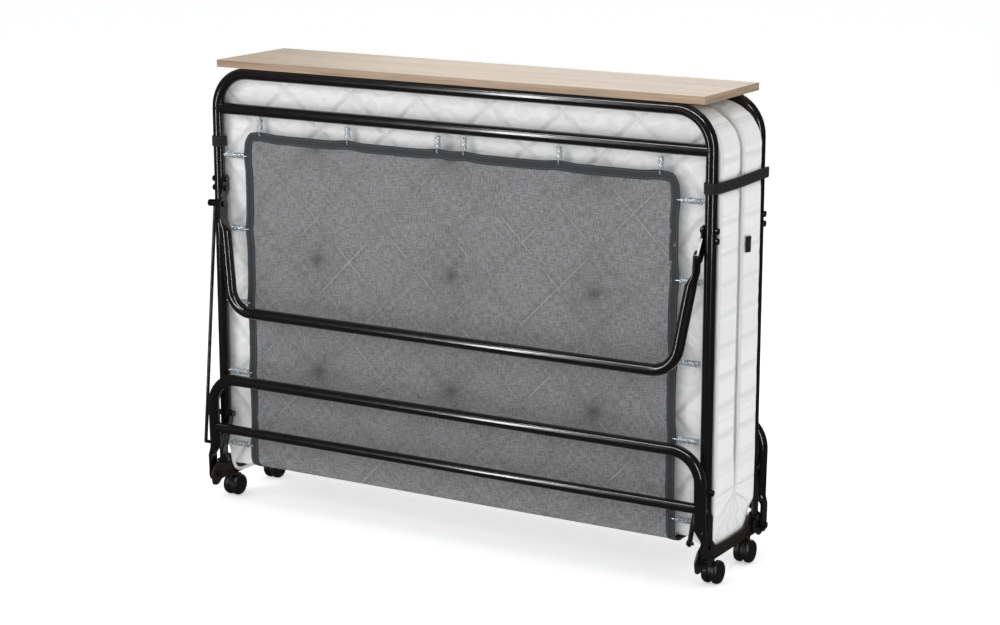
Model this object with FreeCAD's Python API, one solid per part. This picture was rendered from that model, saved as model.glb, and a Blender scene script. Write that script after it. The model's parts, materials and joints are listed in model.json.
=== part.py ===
import FreeCAD, Part
import math
import os

V = FreeCAD.Vector

# Folding guest bed, stood on end in its folded state. Millimetres.
# +X runs along the bed's width, -Y is the front frame's outer side, +Z is up, the floor is z = 0.

# Tabletop, which becomes the headboard when the bed is open
tabletop_length = 1175.0
tabletop_depth = 250.0
tabletop_thickness = 16.0
tabletop_height = 999.0
tabletop_edge_radius = 1.2
tabletop_gap = 0.5
tabletop_screw_x = 495.0
tabletop_screw_y = 48.0
screw_head_radius = 6.0
screw_head_height = 1.6
screw_sink = 2.0
screw_radius = 2.5
clip_width = 26.0
clip_thickness = 3.0
clip_reach = 16.0

# Steel tube frames
tube_radius = 12.5
tube_wall = 1.5
rail_x = 597.5
frame_y = 110.0
frame_corner_radius = 78.0
crossbar_drop = 78.5
tongue_thickness = 5.0
tongue_width = 25.0
tongue_blend = 20.0
running_gap = 0.05
side_gap = 0.3

# Fold pivots in the castor plates, as (y, z) of the front side with y measured outwards
rail_pivot = (110.0, 88.0)
leg_pivot = (142.0, 64.0)
rail_stub = 33.0
rail_flat = 58.0
leg_stub = 14.0
leg_flat = 46.0
pivot_bolt_radius = 4.0
pivot_head_radius = 7.0
pivot_head_height = 5.0

# Castor plates
plate_thickness = 4.0
plate_x = 602.0
plate_foot = 50.0
plate_drop = 10.0
plate_end = 22.0
ear_rise = 15.0
plate_dip = 25.0
plate_holes = ((52.0, 64.0), (104.0, 61.0))
plate_hole_radius = 3.0
pad_half_width = 17.0
pad_half_length = 10.0
pad_thickness = 3.0
socket_radius = 7.0
socket_height = 7.0

# Castors
castor_y = 86.0
castor_trail = 9.0
castor_wheel_radius = 24.5
castor_wheel_width = 14.5
castor_body_width = 8.0
castor_wheel_gap = 0.4
castor_axle_radius = 3.0
castor_stem_radius = 4.0
castor_top_gap = 1.0

# Centre leg frames
leg_lean = 8.0
leg_rise = 227.0
leg_corner_radius = 64.0
leg_midbar_rise = 111.0
midbar_radius = 11.0

# End legs and their brackets
bracket_thickness = 4.0
bracket_bolt_heights = (734.0, 714.0)
bracket_bolt_radius = 4.0
bracket_head_radius = 6.5
bracket_head_height = 4.5
bracket_lobe = 12.0
end_pivot = (128.0, 682.0)
end_leg_flat_width = 28.0
end_leg_stub = 14.0
end_leg_flat = 32.0
end_leg_blend = 26.0
end_leg_bar = (150.0, 449.0)
end_leg_corner_x = 541.0
end_leg_corner_radius = 58.0
end_pin_radius = 4.0
crank_length = 35.5
crank_drop = 6.0
crank_half_width = 7.5
crank_thickness = 3.0
pin_nut_radius = 6.0
pin_nut_height = 2.5

# Links that open the legs with the frames
link_bolt_height = 200.0
link_foot = (148.0, 101.4)
link_half_width = 8.0
link_thickness = 4.0
link_gap = 0.7
link_rivet_height = 3.0
rod_radius = 4.0
rod_foot = (150.0, 139.0)
rod_gap = 7.0
open_pivot_gap = 0.5

# Woven sling and its springs
sling_half_width = 530.0
sling_top = 845.0
sling_split = 150.0
sling_fold_gap = 5.0
sling_thickness = 1.2
sling_corner = (23.0, 33.0)
sling_fold_bottom = 81.0
sling_fold_radius = 26.0
binding_width = 20.0
binding_thickness = 4.0
spring_radius = 5.5
spring_hook = 8.0
spring_wire = 1.2
top_spring_x = (-486.0, -257.0, -32.0, 32.0, 257.0, 486.0)
side_spring_z = (134.0, 302.0, 462.0, 628.0, 790.0)

# Mattress, folded in two
mattress_half_width = 606.0
mattress_fold_half_width = 598.0
mattress_outer = 95.0
mattress_inner = 2.0
mattress_top = 960.0
mattress_split = 190.0
mattress_fold_top = 185.0
mattress_fold_bottom = 84.0
mattress_top_corner = 100.0
mattress_edge = 14.0
mattress_fold_radius = 40.0

# Storage straps
strap_low = 807.0
strap_high = 830.0
strap_thickness = 2.5
strap_gap = 0.3
strap_end = 128.0

# Places that follow from the sizes above
rail_in = rail_x - tube_radius
rail_out = rail_x + tube_radius
tabletop_under = tabletop_height - tabletop_thickness
top_tube_z = tabletop_under - tabletop_gap - tube_radius
crossbar_z = top_tube_z - crossbar_drop
web_in = plate_x - plate_thickness / 2
web_out = plate_x + plate_thickness / 2
rail_tongue = (web_out + side_gap, web_out + side_gap + tongue_thickness)
leg_tongue = (rail_tongue[1] + 1.0, rail_tongue[1] + 1.0 + tongue_thickness)
leg_x = leg_tongue[1] - tube_radius
bracket_in = rail_in - bracket_thickness
end_leg_flat_out = bracket_in - 1.0
end_leg_flat_in = end_leg_flat_out - tongue_thickness
crank_in = rail_out + 1.5
rod_x = leg_tongue[1] + rod_gap + rod_radius
link_out = rail_in - link_gap
link_in = link_out - link_thickness


# ---------- shape helpers ----------

def box(x0, x1, y0, y1, z0, z1):
    return Part.makeBox(x1 - x0, y1 - y0, z1 - z0, V(x0, y0, z0))


def round_bar(start, end, radius):
    along = end - start
    return Part.makeCylinder(radius, along.Length, start, along)


def x_bar(x0, x1, place, radius):
    """Round bar along X through the front-side place (outward y, z)."""
    return Part.makeCylinder(radius, x1 - x0, V(x0, -place[0], place[1]), V(1, 0, 0))


def flip_x(shape):
    return shape.mirror(V(0, 0, 0), V(1, 0, 0))


def flip_y(shape):
    return shape.mirror(V(0, 0, 0), V(0, 1, 0))


def both_sides(shape):
    return [shape, flip_x(shape)]


def merge(first, others):
    return first.fuse(others).removeSplitter()


def polygon(points):
    return Part.makePolygon(points + [points[0]])


def rounded_wire(points, radii, closed):
    """Straight runs through the points, with a tangent arc of its own radius at each corner."""
    count = len(points)
    cuts = []
    for i, point in enumerate(points):
        at_end = not closed and i in (0, count - 1)
        if at_end or radii[i] == 0:
            cuts.append((point, None, point))
            continue
        back = (points[i - 1] - point).normalize()
        ahead = (points[(i + 1) % count] - point).normalize()
        half_angle = back.getAngle(ahead) / 2
        reach = radii[i] / math.tan(half_angle)
        middle = (back + ahead).normalize()
        centre = point + middle * (radii[i] / math.sin(half_angle))
        cuts.append((point + back * reach, centre - middle * radii[i], point + ahead * reach))
    edges = []
    for i, (enter, mid, leave) in enumerate(cuts):
        if mid is not None:
            edges.append(Part.Arc(enter, mid, leave).toShape())
        last = i == count - 1
        if last and not closed:
            break
        following = cuts[(i + 1) % count][0]
        if leave.distanceToPoint(following) > 1e-6:
            edges.append(Part.LineSegment(leave, following).toShape())
    return Part.Wire(edges)


def hollow_tube(path, start, heading, radius):
    """Round tube swept along a path of straight runs and tangent arcs."""
    skins = []
    for r in (radius, radius - tube_wall):
        ring = Part.Wire(Part.Circle(start, heading, r).toShape())
        skins.append(path.makePipeShell([ring], True, False))
    return skins[0].cut(skins[1])


def solid_run(path, start, heading, radius):
    ring = Part.Wire(Part.Circle(start, heading, radius).toShape())
    return path.makePipeShell([ring], True, False)


def slot_plate(x0, x1, start, end, radius):
    """Plate in the YZ plane with round ends, between two front-side places."""
    a = V(x0, -start[0], start[1])
    b = V(x0, -end[0], end[1])
    along = (b - a).normalize()
    side = V(0, -along.z, along.y) * radius
    face = Part.Face(polygon([a + side, b + side, b - side, a - side]))
    plate = face.extrude(V(x1 - x0, 0, 0))
    ends = [x_bar(x0, x1, place, radius) for place in (start, end)]
    return merge(plate, ends)


def flat_end(x0, x1, pivot, along, stub, flat, width, blend, ring_centre, ring_heading, hole):
    """Tube end pressed flat: a round-nosed tongue with a pivot hole, blended into the round tube."""
    origin = V(0, -pivot[0], pivot[1])
    side = V(0, -along.z, along.y)
    half = width / 2
    nose = origin + along * (half - stub)
    blend_start = origin + along * flat
    corners = [nose + side * half, blend_start + side * half,
               blend_start - side * half, nose - side * half]
    face = Part.Face(polygon([p + V(x0, 0, 0) for p in corners]))
    tongue = face.extrude(V(x1 - x0, 0, 0))
    nose_disc = Part.makeCylinder(half, x1 - x0, nose + V(x0, 0, 0), V(1, 0, 0))
    square = [V(x1, 0, 0) + blend_start + side * half, V(x0, 0, 0) + blend_start + side * half,
              V(x0, 0, 0) + blend_start - side * half, V(x1, 0, 0) + blend_start - side * half]
    across = V(1, 0, 0) - ring_heading * ring_heading.x
    across.normalize()
    up = ring_heading.cross(across).normalize()
    if up.dot(side) < 0:
        up = up * -1
    diagonals = [(1, 1), (-1, 1), (-1, -1), (1, -1)]
    middles = [(0, 1), (-1, 0), (0, -1), (1, 0)]
    share = tube_radius / math.sqrt(2)
    ring = [ring_centre + across * (share * a) + up * (share * b) for a, b in diagonals]
    mids = [ring_centre + across * (tube_radius * a) + up * (tube_radius * b) for a, b in middles]
    arcs = [Part.Arc(ring[i], mids[i], ring[(i + 1) % 4]).toShape() for i in range(4)]
    neck = Part.makeLoft([polygon(square), Part.Wire(arcs)], True, True)
    end = merge(tongue, [nose_disc, neck])
    return end.cut(x_bar(x0 - 1, x1 + 1, pivot, hole))


def save(name, shape):
    if isinstance(shape, list):
        shape = Part.makeCompound(shape)
    bad = [s for s in shape.Solids if not s.isValid() or s.Volume <= 0]
    print("%-34s solids %2d  volume %10.0f %s" % (name, len(shape.Solids), shape.Volume, "BAD" if bad else ""))
    shape.exportStep("parts/%s.step" % name)


# ---------- stand: castor plates, castors ----------

def castor_plate():
    """Left and right plates that carry every fold pivot; this is the right one."""
    end_y = leg_pivot[0] + plate_end
    ear_top = rail_pivot[1] + ear_rise
    reach = math.hypot(castor_trail + castor_wheel_radius, castor_wheel_width + castor_body_width)
    drop = plate_foot - plate_drop
    dip = plate_foot + plate_dip
    half = [(0, plate_foot), (castor_y + reach + 2, plate_foot), (leg_pivot[0] - 2, drop),
            (end_y - 6, drop), (end_y, leg_pivot[1] + 4), (end_y - 12, leg_pivot[1] + 20),
            (rail_pivot[0] + 12, ear_top), (rail_pivot[0] - 14, ear_top),
            (castor_y - 16, dip + 2), (0, dip)]
    rounding = [0, 12, 8, 10, 12, 10, 12, 12, 16, 0]
    front = [V(web_in, -y, z) for y, z in half]
    rear = [V(web_in, y, z) for y, z in reversed(half[1:-1])]
    outline = front + rear
    radii = rounding + list(reversed(rounding[1:-1]))
    web = Part.Face(rounded_wire(outline, radii, True)).extrude(V(plate_thickness, 0, 0))
    extras = []
    for side in (-1, 1):
        y = side * castor_y
        extras.append(box(plate_x - pad_half_width, rail_tongue[0] - side_gap, y - pad_half_length,
                          y + pad_half_length, plate_foot, plate_foot + pad_thickness))
        extras.append(Part.makeCylinder(socket_radius, socket_height, V(plate_x, y, plate_foot)))
    plate = merge(web, extras)
    for side in (-1, 1):
        stem = Part.makeCylinder(castor_stem_radius + running_gap, socket_height,
                                 V(plate_x, side * castor_y, plate_foot - 1.5))
        plate = plate.cut(stem)
        bores = [(rail_pivot, pivot_bolt_radius), (leg_pivot, pivot_bolt_radius)]
        bores += [(place, plate_hole_radius) for place in plate_holes]
        for place, radius in bores:
            hole = x_bar(web_in - 1, web_out + 1, place, radius)
            plate = plate.cut(hole if side < 0 else flip_y(hole))
    return plate


def plate_bolts():
    """Shouldered pivot bolts: rail bolts seat on the web, leg bolts carry a spacer as well."""
    rail_head = rail_tongue[1] + 0.2
    leg_head = leg_tongue[1] + 0.2
    rail_bolt = merge(x_bar(web_in - pivot_head_height, rail_head + 1, rail_pivot, pivot_bolt_radius),
                      [x_bar(web_in - pivot_head_height, web_in, rail_pivot, pivot_head_radius),
                       x_bar(rail_head, rail_head + pivot_head_height, rail_pivot, pivot_head_radius)])
    leg_bolt = merge(x_bar(web_in - pivot_head_height, leg_head + 1, leg_pivot, pivot_bolt_radius),
                     [x_bar(web_in - pivot_head_height, web_in, leg_pivot, pivot_head_radius),
                      x_bar(web_out, leg_tongue[0] - 0.2, leg_pivot, pivot_head_radius),
                      x_bar(leg_head, leg_head + pivot_head_height, leg_pivot, pivot_head_radius)])
    bolts = []
    for bolt in (rail_bolt, leg_bolt):
        for front in both_sides(bolt):
            bolts += [front, flip_y(front)]
    return bolts


def castor_housing():
    """Right front castor's moulded body: centre web, neck and swivel stem."""
    axle = V(plate_x, -castor_y + castor_trail, castor_wheel_radius)
    half = castor_body_width / 2
    hub = Part.makeCylinder(castor_wheel_radius - 4.5, 2 * half, axle - V(half, 0, 0), V(1, 0, 0))
    top = plate_foot - castor_top_gap
    throat = box(plate_x - half, plate_x + half, -castor_y - 7, -castor_y + 7, castor_wheel_radius, top)
    stem = Part.makeCylinder(castor_stem_radius, castor_top_gap + socket_height - 1.5,
                             V(plate_x, -castor_y, top - 1))
    body = merge(hub, [throat, stem])
    return body.cut(castor_axle())


def castor_axle():
    reach = castor_body_width / 2 + castor_wheel_gap + castor_wheel_width - 4
    axle = V(plate_x - reach, -castor_y + castor_trail, castor_wheel_radius)
    return Part.makeCylinder(castor_axle_radius, 2 * reach, axle, V(1, 0, 0))


def castor_wheel():
    """Outer wheel of the right front castor: rounded tread, dished cap, blind axle bore."""
    inner = castor_body_width / 2 + castor_wheel_gap
    outer = inner + castor_wheel_width
    r = castor_wheel_radius
    bore = castor_axle_radius + running_gap
    profile = [V(inner, bore, 0), V(inner, r - 2, 0), V(inner + 2, r, 0), V(outer - 6, r, 0),
               V(outer - 1.6, r - 2.6, 0), V(outer, r - 8, 0), V(outer - 1.4, r - 9.5, 0),
               V(outer - 1.4, 0, 0), V(outer - 3.5, 0, 0), V(outer - 3.5, bore, 0)]
    corners = [0, 1.2, 1.2, 6, 3, 1.5, 0.8, 0, 0, 0]
    face = Part.Face(rounded_wire(profile, corners, True))
    wheel = face.revolve(V(0, 0, 0), V(1, 0, 0), 360)
    wheel.translate(V(plate_x, -castor_y + castor_trail, castor_wheel_radius))
    return wheel


# ---------- main frames ----------

def frame_outline():
    foot = rail_pivot[1] + rail_flat + tongue_blend
    corners = [V(rail_x, -frame_y, foot), V(rail_x, -frame_y, top_tube_z),
               V(-rail_x, -frame_y, top_tube_z), V(-rail_x, -frame_y, foot)]
    radius = frame_corner_radius
    return corners[0], rounded_wire(corners, [0, radius, radius, 0], False)


def frame_envelope():
    start, path = frame_outline()
    return solid_run(path, start, V(0, 0, 1), tube_radius)


def frame_bolt_places():
    heights = bracket_bolt_heights + (link_bolt_height,)
    return [(frame_y, z) for z in heights]


def frame_tube():
    start, path = frame_outline()
    tube = hollow_tube(path, start, V(0, 0, 1), tube_radius)
    end = flat_end(rail_tongue[0], rail_tongue[1], rail_pivot, V(0, 0, 1), rail_stub, rail_flat,
                   tongue_width, tongue_blend, start, V(0, 0, 1), pivot_bolt_radius + running_gap)
    tube = merge(tube, both_sides(end))
    for place in frame_bolt_places():
        for hole in both_sides(x_bar(rail_in - 5, rail_out + 5, place, bracket_bolt_radius)):
            tube = tube.cut(hole)
    return tube


def crossbar():
    start = V(-rail_x, -frame_y, crossbar_z)
    path = Part.Wire(Part.LineSegment(start, V(rail_x, -frame_y, crossbar_z)).toShape())
    bar = hollow_tube(path, start, V(1, 0, 0), tube_radius)
    return middle_solid(bar.cut(frame_envelope()))


def middle_solid(shape):
    """Drops the slivers left inside or beyond the uprights after coping."""
    return max(shape.Solids, key=lambda solid: solid.Volume)


def leg_bracket():
    """Plate on the rail's inner side that carries the end leg's pivot."""
    top = (frame_y, bracket_bolt_heights[0])
    low = (frame_y, bracket_bolt_heights[1])
    plate = slot_plate(bracket_in, rail_in, top, low, bracket_lobe - 1)
    plate = merge(plate, [slot_plate(bracket_in, rail_in, low, end_pivot, bracket_lobe)])
    for place in (top, low):
        plate = plate.cut(x_bar(bracket_in - 1, rail_in + 1, place, bracket_bolt_radius))
    return plate.cut(x_bar(bracket_in - 1, rail_in + 1, end_pivot, end_pin_radius + running_gap))


def frame_bolts():
    """Two bracket bolts and one link bolt through each rail."""
    bolts = []
    for place in frame_bolt_places():
        seat = bracket_in
        if place[1] == link_bolt_height:
            seat = link_in - 0.2
        shank = x_bar(seat - 1, rail_out + 1, place, bracket_bolt_radius)
        heads = [x_bar(seat - bracket_head_height, seat, place, bracket_head_radius),
                 x_bar(rail_out, rail_out + bracket_head_height, place, bracket_head_radius)]
        bolts += both_sides(merge(shank, heads))
    return bolts


# ---------- sling ----------

def sling_outline(inset, thickness, low):
    """Woven panel outline: square below, clipped top corners, moved in by an inset all round."""
    cut_x, cut_z = sling_corner
    slope = math.hypot(cut_x, cut_z)
    down = cut_z + inset * (cut_x - (slope - cut_z) * cut_z / cut_x) / slope
    run = (cut_x / cut_z) * (down - inset)
    right = sling_half_width - inset
    top = sling_top - inset
    y = -frame_y - thickness / 2
    points = [V(right, y, low), V(right, y, top - (down - inset)), V(right - run, y, top)]
    points += [V(-p.x, p.y, p.z) for p in reversed(points)]
    return Part.Face(polygon(points)).extrude(V(0, thickness, 0))


def sling():
    return sling_outline(2.0, sling_thickness, sling_split)


def sling_binding():
    ring = sling_outline(0.0, binding_thickness, sling_split)
    window = sling_outline(binding_width, binding_thickness + 2, sling_split - 1)
    return ring.cut(window).cut(sling_outline(2.0, sling_thickness, sling_split - 1))


def sling_fold():
    """Lower run of the sling, which turns under the mattress fold from front to rear."""
    high = sling_split - sling_fold_gap
    shells = []
    for grow in (sling_thickness / 2, -sling_thickness / 2):
        y = frame_y + grow
        z = sling_fold_bottom + sling_thickness / 2 - grow
        radius = sling_fold_radius + grow
        x = -sling_half_width + 2
        corners = [V(x, -y, high), V(x, -y, z), V(x, y, z), V(x, y, high)]
        wire = rounded_wire(corners, [0, radius, radius, 0], True)
        shells.append(Part.Face(wire).extrude(V(-2 * x, 0, 0)))
    return shells[0].cut(shells[1])


def spring(start, end, anchor):
    """Coil spring as its outer shape, with a hook at each end; the far hook meets the tube."""
    along = (end - start).normalize()
    body = round_bar(start + along * spring_hook, end - along * spring_hook, spring_radius)
    hooks = round_bar(start, end + along * tube_radius, spring_wire)
    return merge(body, [hooks]).cut(anchor)


def springs():
    rails = [round_bar(V(x, -frame_y, 0), V(x, -frame_y, top_tube_z), tube_radius)
             for x in (rail_x, -rail_x)]
    bar = round_bar(V(-rail_x, -frame_y, crossbar_z), V(rail_x, -frame_y, crossbar_z), tube_radius)
    group = []
    for x in top_spring_x:
        group.append(spring(V(x, -frame_y, sling_top), V(x, -frame_y, crossbar_z - tube_radius), bar))
    for z in side_spring_z:
        edge = sling_half_width if z > sling_split else sling_half_width - 2
        for side, rail in zip((1, -1), rails):
            group.append(spring(V(side * edge, -frame_y, z), V(side * rail_in, -frame_y, z), rail))
    return group


# ---------- mattress ----------

def mattress_half():
    w = mattress_half_width
    y = -mattress_outer
    corners = [V(w, y, mattress_split), V(w, y, mattress_top), V(-w, y, mattress_top),
               V(-w, y, mattress_split)]
    r = mattress_top_corner
    outline = rounded_wire(corners, [0, r, r, 0], True)
    pad = Part.Face(outline).extrude(V(0, mattress_outer - mattress_inner, 0))
    return pad.makeFillet(mattress_edge, [e for e in pad.Edges if edge_off_split(e)])


def edge_off_split(edge):
    """Edges round the cover's front and back faces, leaving out the cut where the halves meet."""
    box_of = edge.BoundBox
    flat = box_of.YLength < 0.01
    return flat and box_of.ZMax > mattress_split + 1


def mattress_fold():
    w = mattress_fold_half_width
    pad = box(-w, w, -mattress_outer, mattress_outer, mattress_fold_bottom, mattress_fold_top)
    low = [e for e in pad.Edges if e.BoundBox.XLength > w and e.BoundBox.ZMax < mattress_fold_top - 1]
    return pad.makeFillet(mattress_fold_radius, low)


# ---------- tabletop ----------

def tabletop():
    board = box(-tabletop_length / 2, tabletop_length / 2, -tabletop_depth / 2, tabletop_depth / 2,
                tabletop_under, tabletop_height)
    board = board.makeFillet(tabletop_edge_radius, board.Edges)
    for x in (-tabletop_screw_x, tabletop_screw_x):
        place = V(x, -tabletop_screw_y, tabletop_under - 1)
        board = board.cut(Part.makeCylinder(screw_radius, tabletop_thickness + 2, place))
        sink = Part.makeCylinder(screw_head_radius + 0.2, screw_sink + 1,
                                 V(x, -tabletop_screw_y, tabletop_height - screw_sink))
        board = board.cut(sink)
    return board


def tabletop_clips():
    """Welded lugs that hold the board to the front frame's top tube."""
    clips = []
    tube = round_bar(V(-rail_x, -frame_y, top_tube_z), V(rail_x, -frame_y, top_tube_z), tube_radius)
    for x in (-tabletop_screw_x, tabletop_screw_x):
        lug = box(x - clip_width / 2, x + clip_width / 2, -frame_y, -tabletop_screw_y + clip_reach,
                  tabletop_under - clip_thickness, tabletop_under)
        lug = lug.cut(tube)
        hole = Part.makeCylinder(screw_radius, 20, V(x, -tabletop_screw_y, tabletop_under - 10))
        clips.append(lug.cut(hole))
    return clips


def tabletop_screws():
    screws = []
    for x in (-tabletop_screw_x, tabletop_screw_x):
        foot = tabletop_under - clip_thickness
        seat = tabletop_height - screw_sink
        shank = Part.makeCylinder(screw_radius, seat - foot, V(x, -tabletop_screw_y, foot))
        head = Part.makeCylinder(screw_head_radius, screw_head_height, V(x, -tabletop_screw_y, seat))
        screws.append(merge(shank, [head]))
    return screws


# ---------- centre legs ----------

def leg_direction():
    return V(0, -leg_lean, leg_rise).normalize()


def leg_point(x, distance):
    return V(x, -leg_pivot[0], leg_pivot[1]) + leg_direction() * distance


def leg_outline():
    start = leg_point(leg_x, leg_flat + tongue_blend)
    top = math.hypot(leg_lean, leg_rise)
    corners = [start, leg_point(leg_x, top), leg_point(-leg_x, top), V(-start.x, start.y, start.z)]
    radius = leg_corner_radius
    return start, rounded_wire(corners, [0, radius, radius, 0], False)


def centre_leg():
    start, path = leg_outline()
    tube = hollow_tube(path, start, leg_direction(), tube_radius)
    end = flat_end(leg_tongue[0], leg_tongue[1], leg_pivot, leg_direction(), leg_stub, leg_flat,
                   tongue_width, tongue_blend, start, leg_direction(), pivot_bolt_radius + running_gap)
    return merge(tube, both_sides(end))


def centre_leg_bar():
    height = leg_point(0, leg_midbar_rise)
    start = V(-leg_x, height.y, height.z)
    path = Part.Wire(Part.LineSegment(start, V(leg_x, height.y, height.z)).toShape())
    bar = hollow_tube(path, start, V(1, 0, 0), midbar_radius)
    leg_start, leg_path = leg_outline()
    return middle_solid(bar.cut(solid_run(leg_path, leg_start, leg_direction(), tube_radius)))


def link_studs():
    """Studs on the inner side of each centre leg, facing the foot of the link bar."""
    stud = x_bar(link_out + open_pivot_gap, leg_x, link_foot, pivot_bolt_radius)
    start = leg_point(leg_x, leg_flat - 20)
    tongue_clear = round_bar(start, leg_point(leg_x, leg_flat + 60), tube_radius)
    stud = stud.cut(tongue_clear)
    return both_sides(stud)


# ---------- end legs ----------

def end_leg_direction():
    return V(0, end_pivot[0] - end_leg_bar[0], end_leg_bar[1] - end_pivot[1]).normalize()


def end_leg():
    down = end_leg_direction()
    x = end_leg_flat_out - tube_radius
    start = V(x, -end_pivot[0], end_pivot[1]) + down * (end_leg_flat + end_leg_blend)
    corner = V(end_leg_corner_x, -end_leg_bar[0], end_leg_bar[1])
    heading = (corner - start).normalize()
    corners = [start, corner, V(-corner.x, corner.y, corner.z), V(-start.x, start.y, start.z)]
    radius = end_leg_corner_radius
    path = rounded_wire(corners, [0, radius, radius, 0], False)
    tube = hollow_tube(path, start, heading, tube_radius)
    end = flat_end(end_leg_flat_in, end_leg_flat_out, end_pivot, down, end_leg_stub, end_leg_flat,
                   end_leg_flat_width, end_leg_blend, start, heading, end_pin_radius)
    return merge(tube, both_sides(end))


def crank_foot():
    return (end_pivot[0] - crank_length, end_pivot[1] - crank_drop)


def end_leg_pivots():
    """Pivot pins welded to the end leg: on the left with the crank that pulls on the long rod."""
    head = x_bar(end_leg_flat_in - 4, end_leg_flat_in, end_pivot, bracket_head_radius)
    long_pin = x_bar(end_leg_flat_in - 1, crank_in + 1, end_pivot, end_pin_radius)
    plate = slot_plate(crank_in, crank_in + crank_thickness, end_pivot, crank_foot(), crank_half_width)
    hole = x_bar(crank_in - 1, crank_in + crank_thickness + 1, crank_foot(), rod_radius + running_gap)
    crank = merge(plate, [long_pin, head]).cut(hole)
    nut_in = rail_in + running_gap
    short_pin = x_bar(end_leg_flat_in - 1, nut_in + 1, end_pivot, end_pin_radius)
    nut = x_bar(nut_in, nut_in + pin_nut_height, end_pivot, pin_nut_radius)
    return [flip_x(crank), merge(short_pin, [head, nut])]


# ---------- links ----------

def link_bar():
    head = (frame_y, link_bolt_height)
    bar = slot_plate(link_in, link_out, head, link_foot, link_half_width)
    rivet = x_bar(link_in - link_rivet_height, link_in, link_foot, link_half_width - 2)
    bar = merge(bar, [rivet])
    return bar.cut(x_bar(link_in - 1, link_out + 1, head, bracket_bolt_radius + running_gap))


def link_rod():
    """Long rod with its two ends turned inwards: one sits in the crank, one faces the centre leg."""
    top = crank_foot()
    inner_top = V(crank_in - 1.0, -top[0], top[1])
    inner_low = V(leg_tongue[1] + open_pivot_gap, -rod_foot[0], rod_foot[1])
    upper = V(rod_x, -top[0], top[1])
    lower = V(rod_x, -rod_foot[0], rod_foot[1])
    shaft = round_bar(upper, lower, rod_radius)
    knees = [Part.makeSphere(rod_radius, p) for p in (upper, lower)]
    stubs = [round_bar(inner_top, upper, rod_radius), round_bar(inner_low, lower, rod_radius)]
    return merge(shaft, knees + stubs)


# ---------- straps ----------

def strap():
    """Storage strap on the right: looped round the front rail, lying along the side to the rear."""
    inner = tube_radius + strap_gap
    outer = inner + strap_thickness
    height = strap_high - strap_low
    centre = V(rail_x, -frame_y, strap_low)
    ring = Part.makeCylinder(outer, height, centre).cut(Part.makeCylinder(inner, height, centre))
    loop = ring.cut(box(rail_x - 30, rail_x + 30, -frame_y, -frame_y + 30, strap_low, strap_high))
    band = box(rail_x + inner, rail_x + outer, -frame_y, strap_end, strap_low, strap_high)
    return merge(loop, [band])


# ---------- write every part ----------

os.makedirs("parts", exist_ok=True)

right_plate = castor_plate()
save("castor_plate_right", right_plate)
save("castor_plate_left", flip_x(right_plate))
save("plate_bolts", plate_bolts())
save("mattress_fold", mattress_fold())
save("sling_fold", sling_fold())

save("tabletop", tabletop())
save("tabletop_clips", tabletop_clips())
save("tabletop_screws", tabletop_screws())

right_link = link_bar()
left_rod = flip_x(link_rod())
right_strap = strap()
save("strap_right", right_strap)
save("strap_left", flip_x(right_strap))

ends = {"front": lambda shape: shape, "rear": flip_y}
whole_parts = {
    "frame_tube": frame_tube(),
    "crossbar": crossbar(),
    "sling": sling(),
    "sling_binding": sling_binding(),
    "springs": Part.makeCompound(springs()),
    "leg_brackets": Part.makeCompound(both_sides(leg_bracket())),
    "frame_bolts": Part.makeCompound(frame_bolts()),
    "mattress": mattress_half(),
    "centre_leg": centre_leg(),
    "centre_leg_bar": centre_leg_bar(),
    "link_studs": Part.makeCompound(link_studs()),
    "end_leg": end_leg(),
    "end_leg_pivots": Part.makeCompound(end_leg_pivots()),
}
side_parts = {
    "link_bar": right_link,
    "castor_housing": castor_housing(),
    "castor_axle": castor_axle(),
}
outer_wheel = castor_wheel()
inner_wheel = outer_wheel.mirror(V(plate_x, 0, 0), V(1, 0, 0))

for end, turn in ends.items():
    for name, shape in whole_parts.items():
        save("%s_%s" % (end, name), turn(shape))
    save("%s_left_link_rod" % end, turn(left_rod))
    for side, swap in (("right", lambda shape: shape), ("left", flip_x)):
        for name, shape in side_parts.items():
            save("%s_%s_%s" % (end, side, name), swap(turn(shape)))
        save("%s_%s_castor_wheel_outer" % (end, side), swap(turn(outer_wheel)))
        save("%s_%s_castor_wheel_inner" % (end, side), swap(turn(inner_wheel)))
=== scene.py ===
import json
import math
import bpy
import numpy as np
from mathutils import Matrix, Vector, noise


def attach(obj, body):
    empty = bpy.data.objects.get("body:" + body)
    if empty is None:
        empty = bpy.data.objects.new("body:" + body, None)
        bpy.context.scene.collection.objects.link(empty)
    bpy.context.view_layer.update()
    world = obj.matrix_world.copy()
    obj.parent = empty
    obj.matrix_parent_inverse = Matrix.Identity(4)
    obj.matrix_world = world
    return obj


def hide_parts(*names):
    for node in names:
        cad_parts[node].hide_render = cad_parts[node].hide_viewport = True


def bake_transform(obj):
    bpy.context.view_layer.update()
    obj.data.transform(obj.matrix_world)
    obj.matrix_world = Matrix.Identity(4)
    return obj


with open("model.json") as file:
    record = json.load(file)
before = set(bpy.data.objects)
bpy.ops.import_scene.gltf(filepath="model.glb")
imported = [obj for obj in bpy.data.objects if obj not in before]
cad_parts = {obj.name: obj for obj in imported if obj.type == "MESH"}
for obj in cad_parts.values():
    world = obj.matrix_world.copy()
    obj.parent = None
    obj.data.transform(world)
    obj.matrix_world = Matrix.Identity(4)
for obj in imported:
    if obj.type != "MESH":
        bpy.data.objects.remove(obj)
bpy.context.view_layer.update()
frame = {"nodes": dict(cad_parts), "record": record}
nodes = frame["nodes"]
ends = (("front", -1.0), ("rear", 1.0))
print("frame loaded")


# ---- camera, light and floor ----

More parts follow.
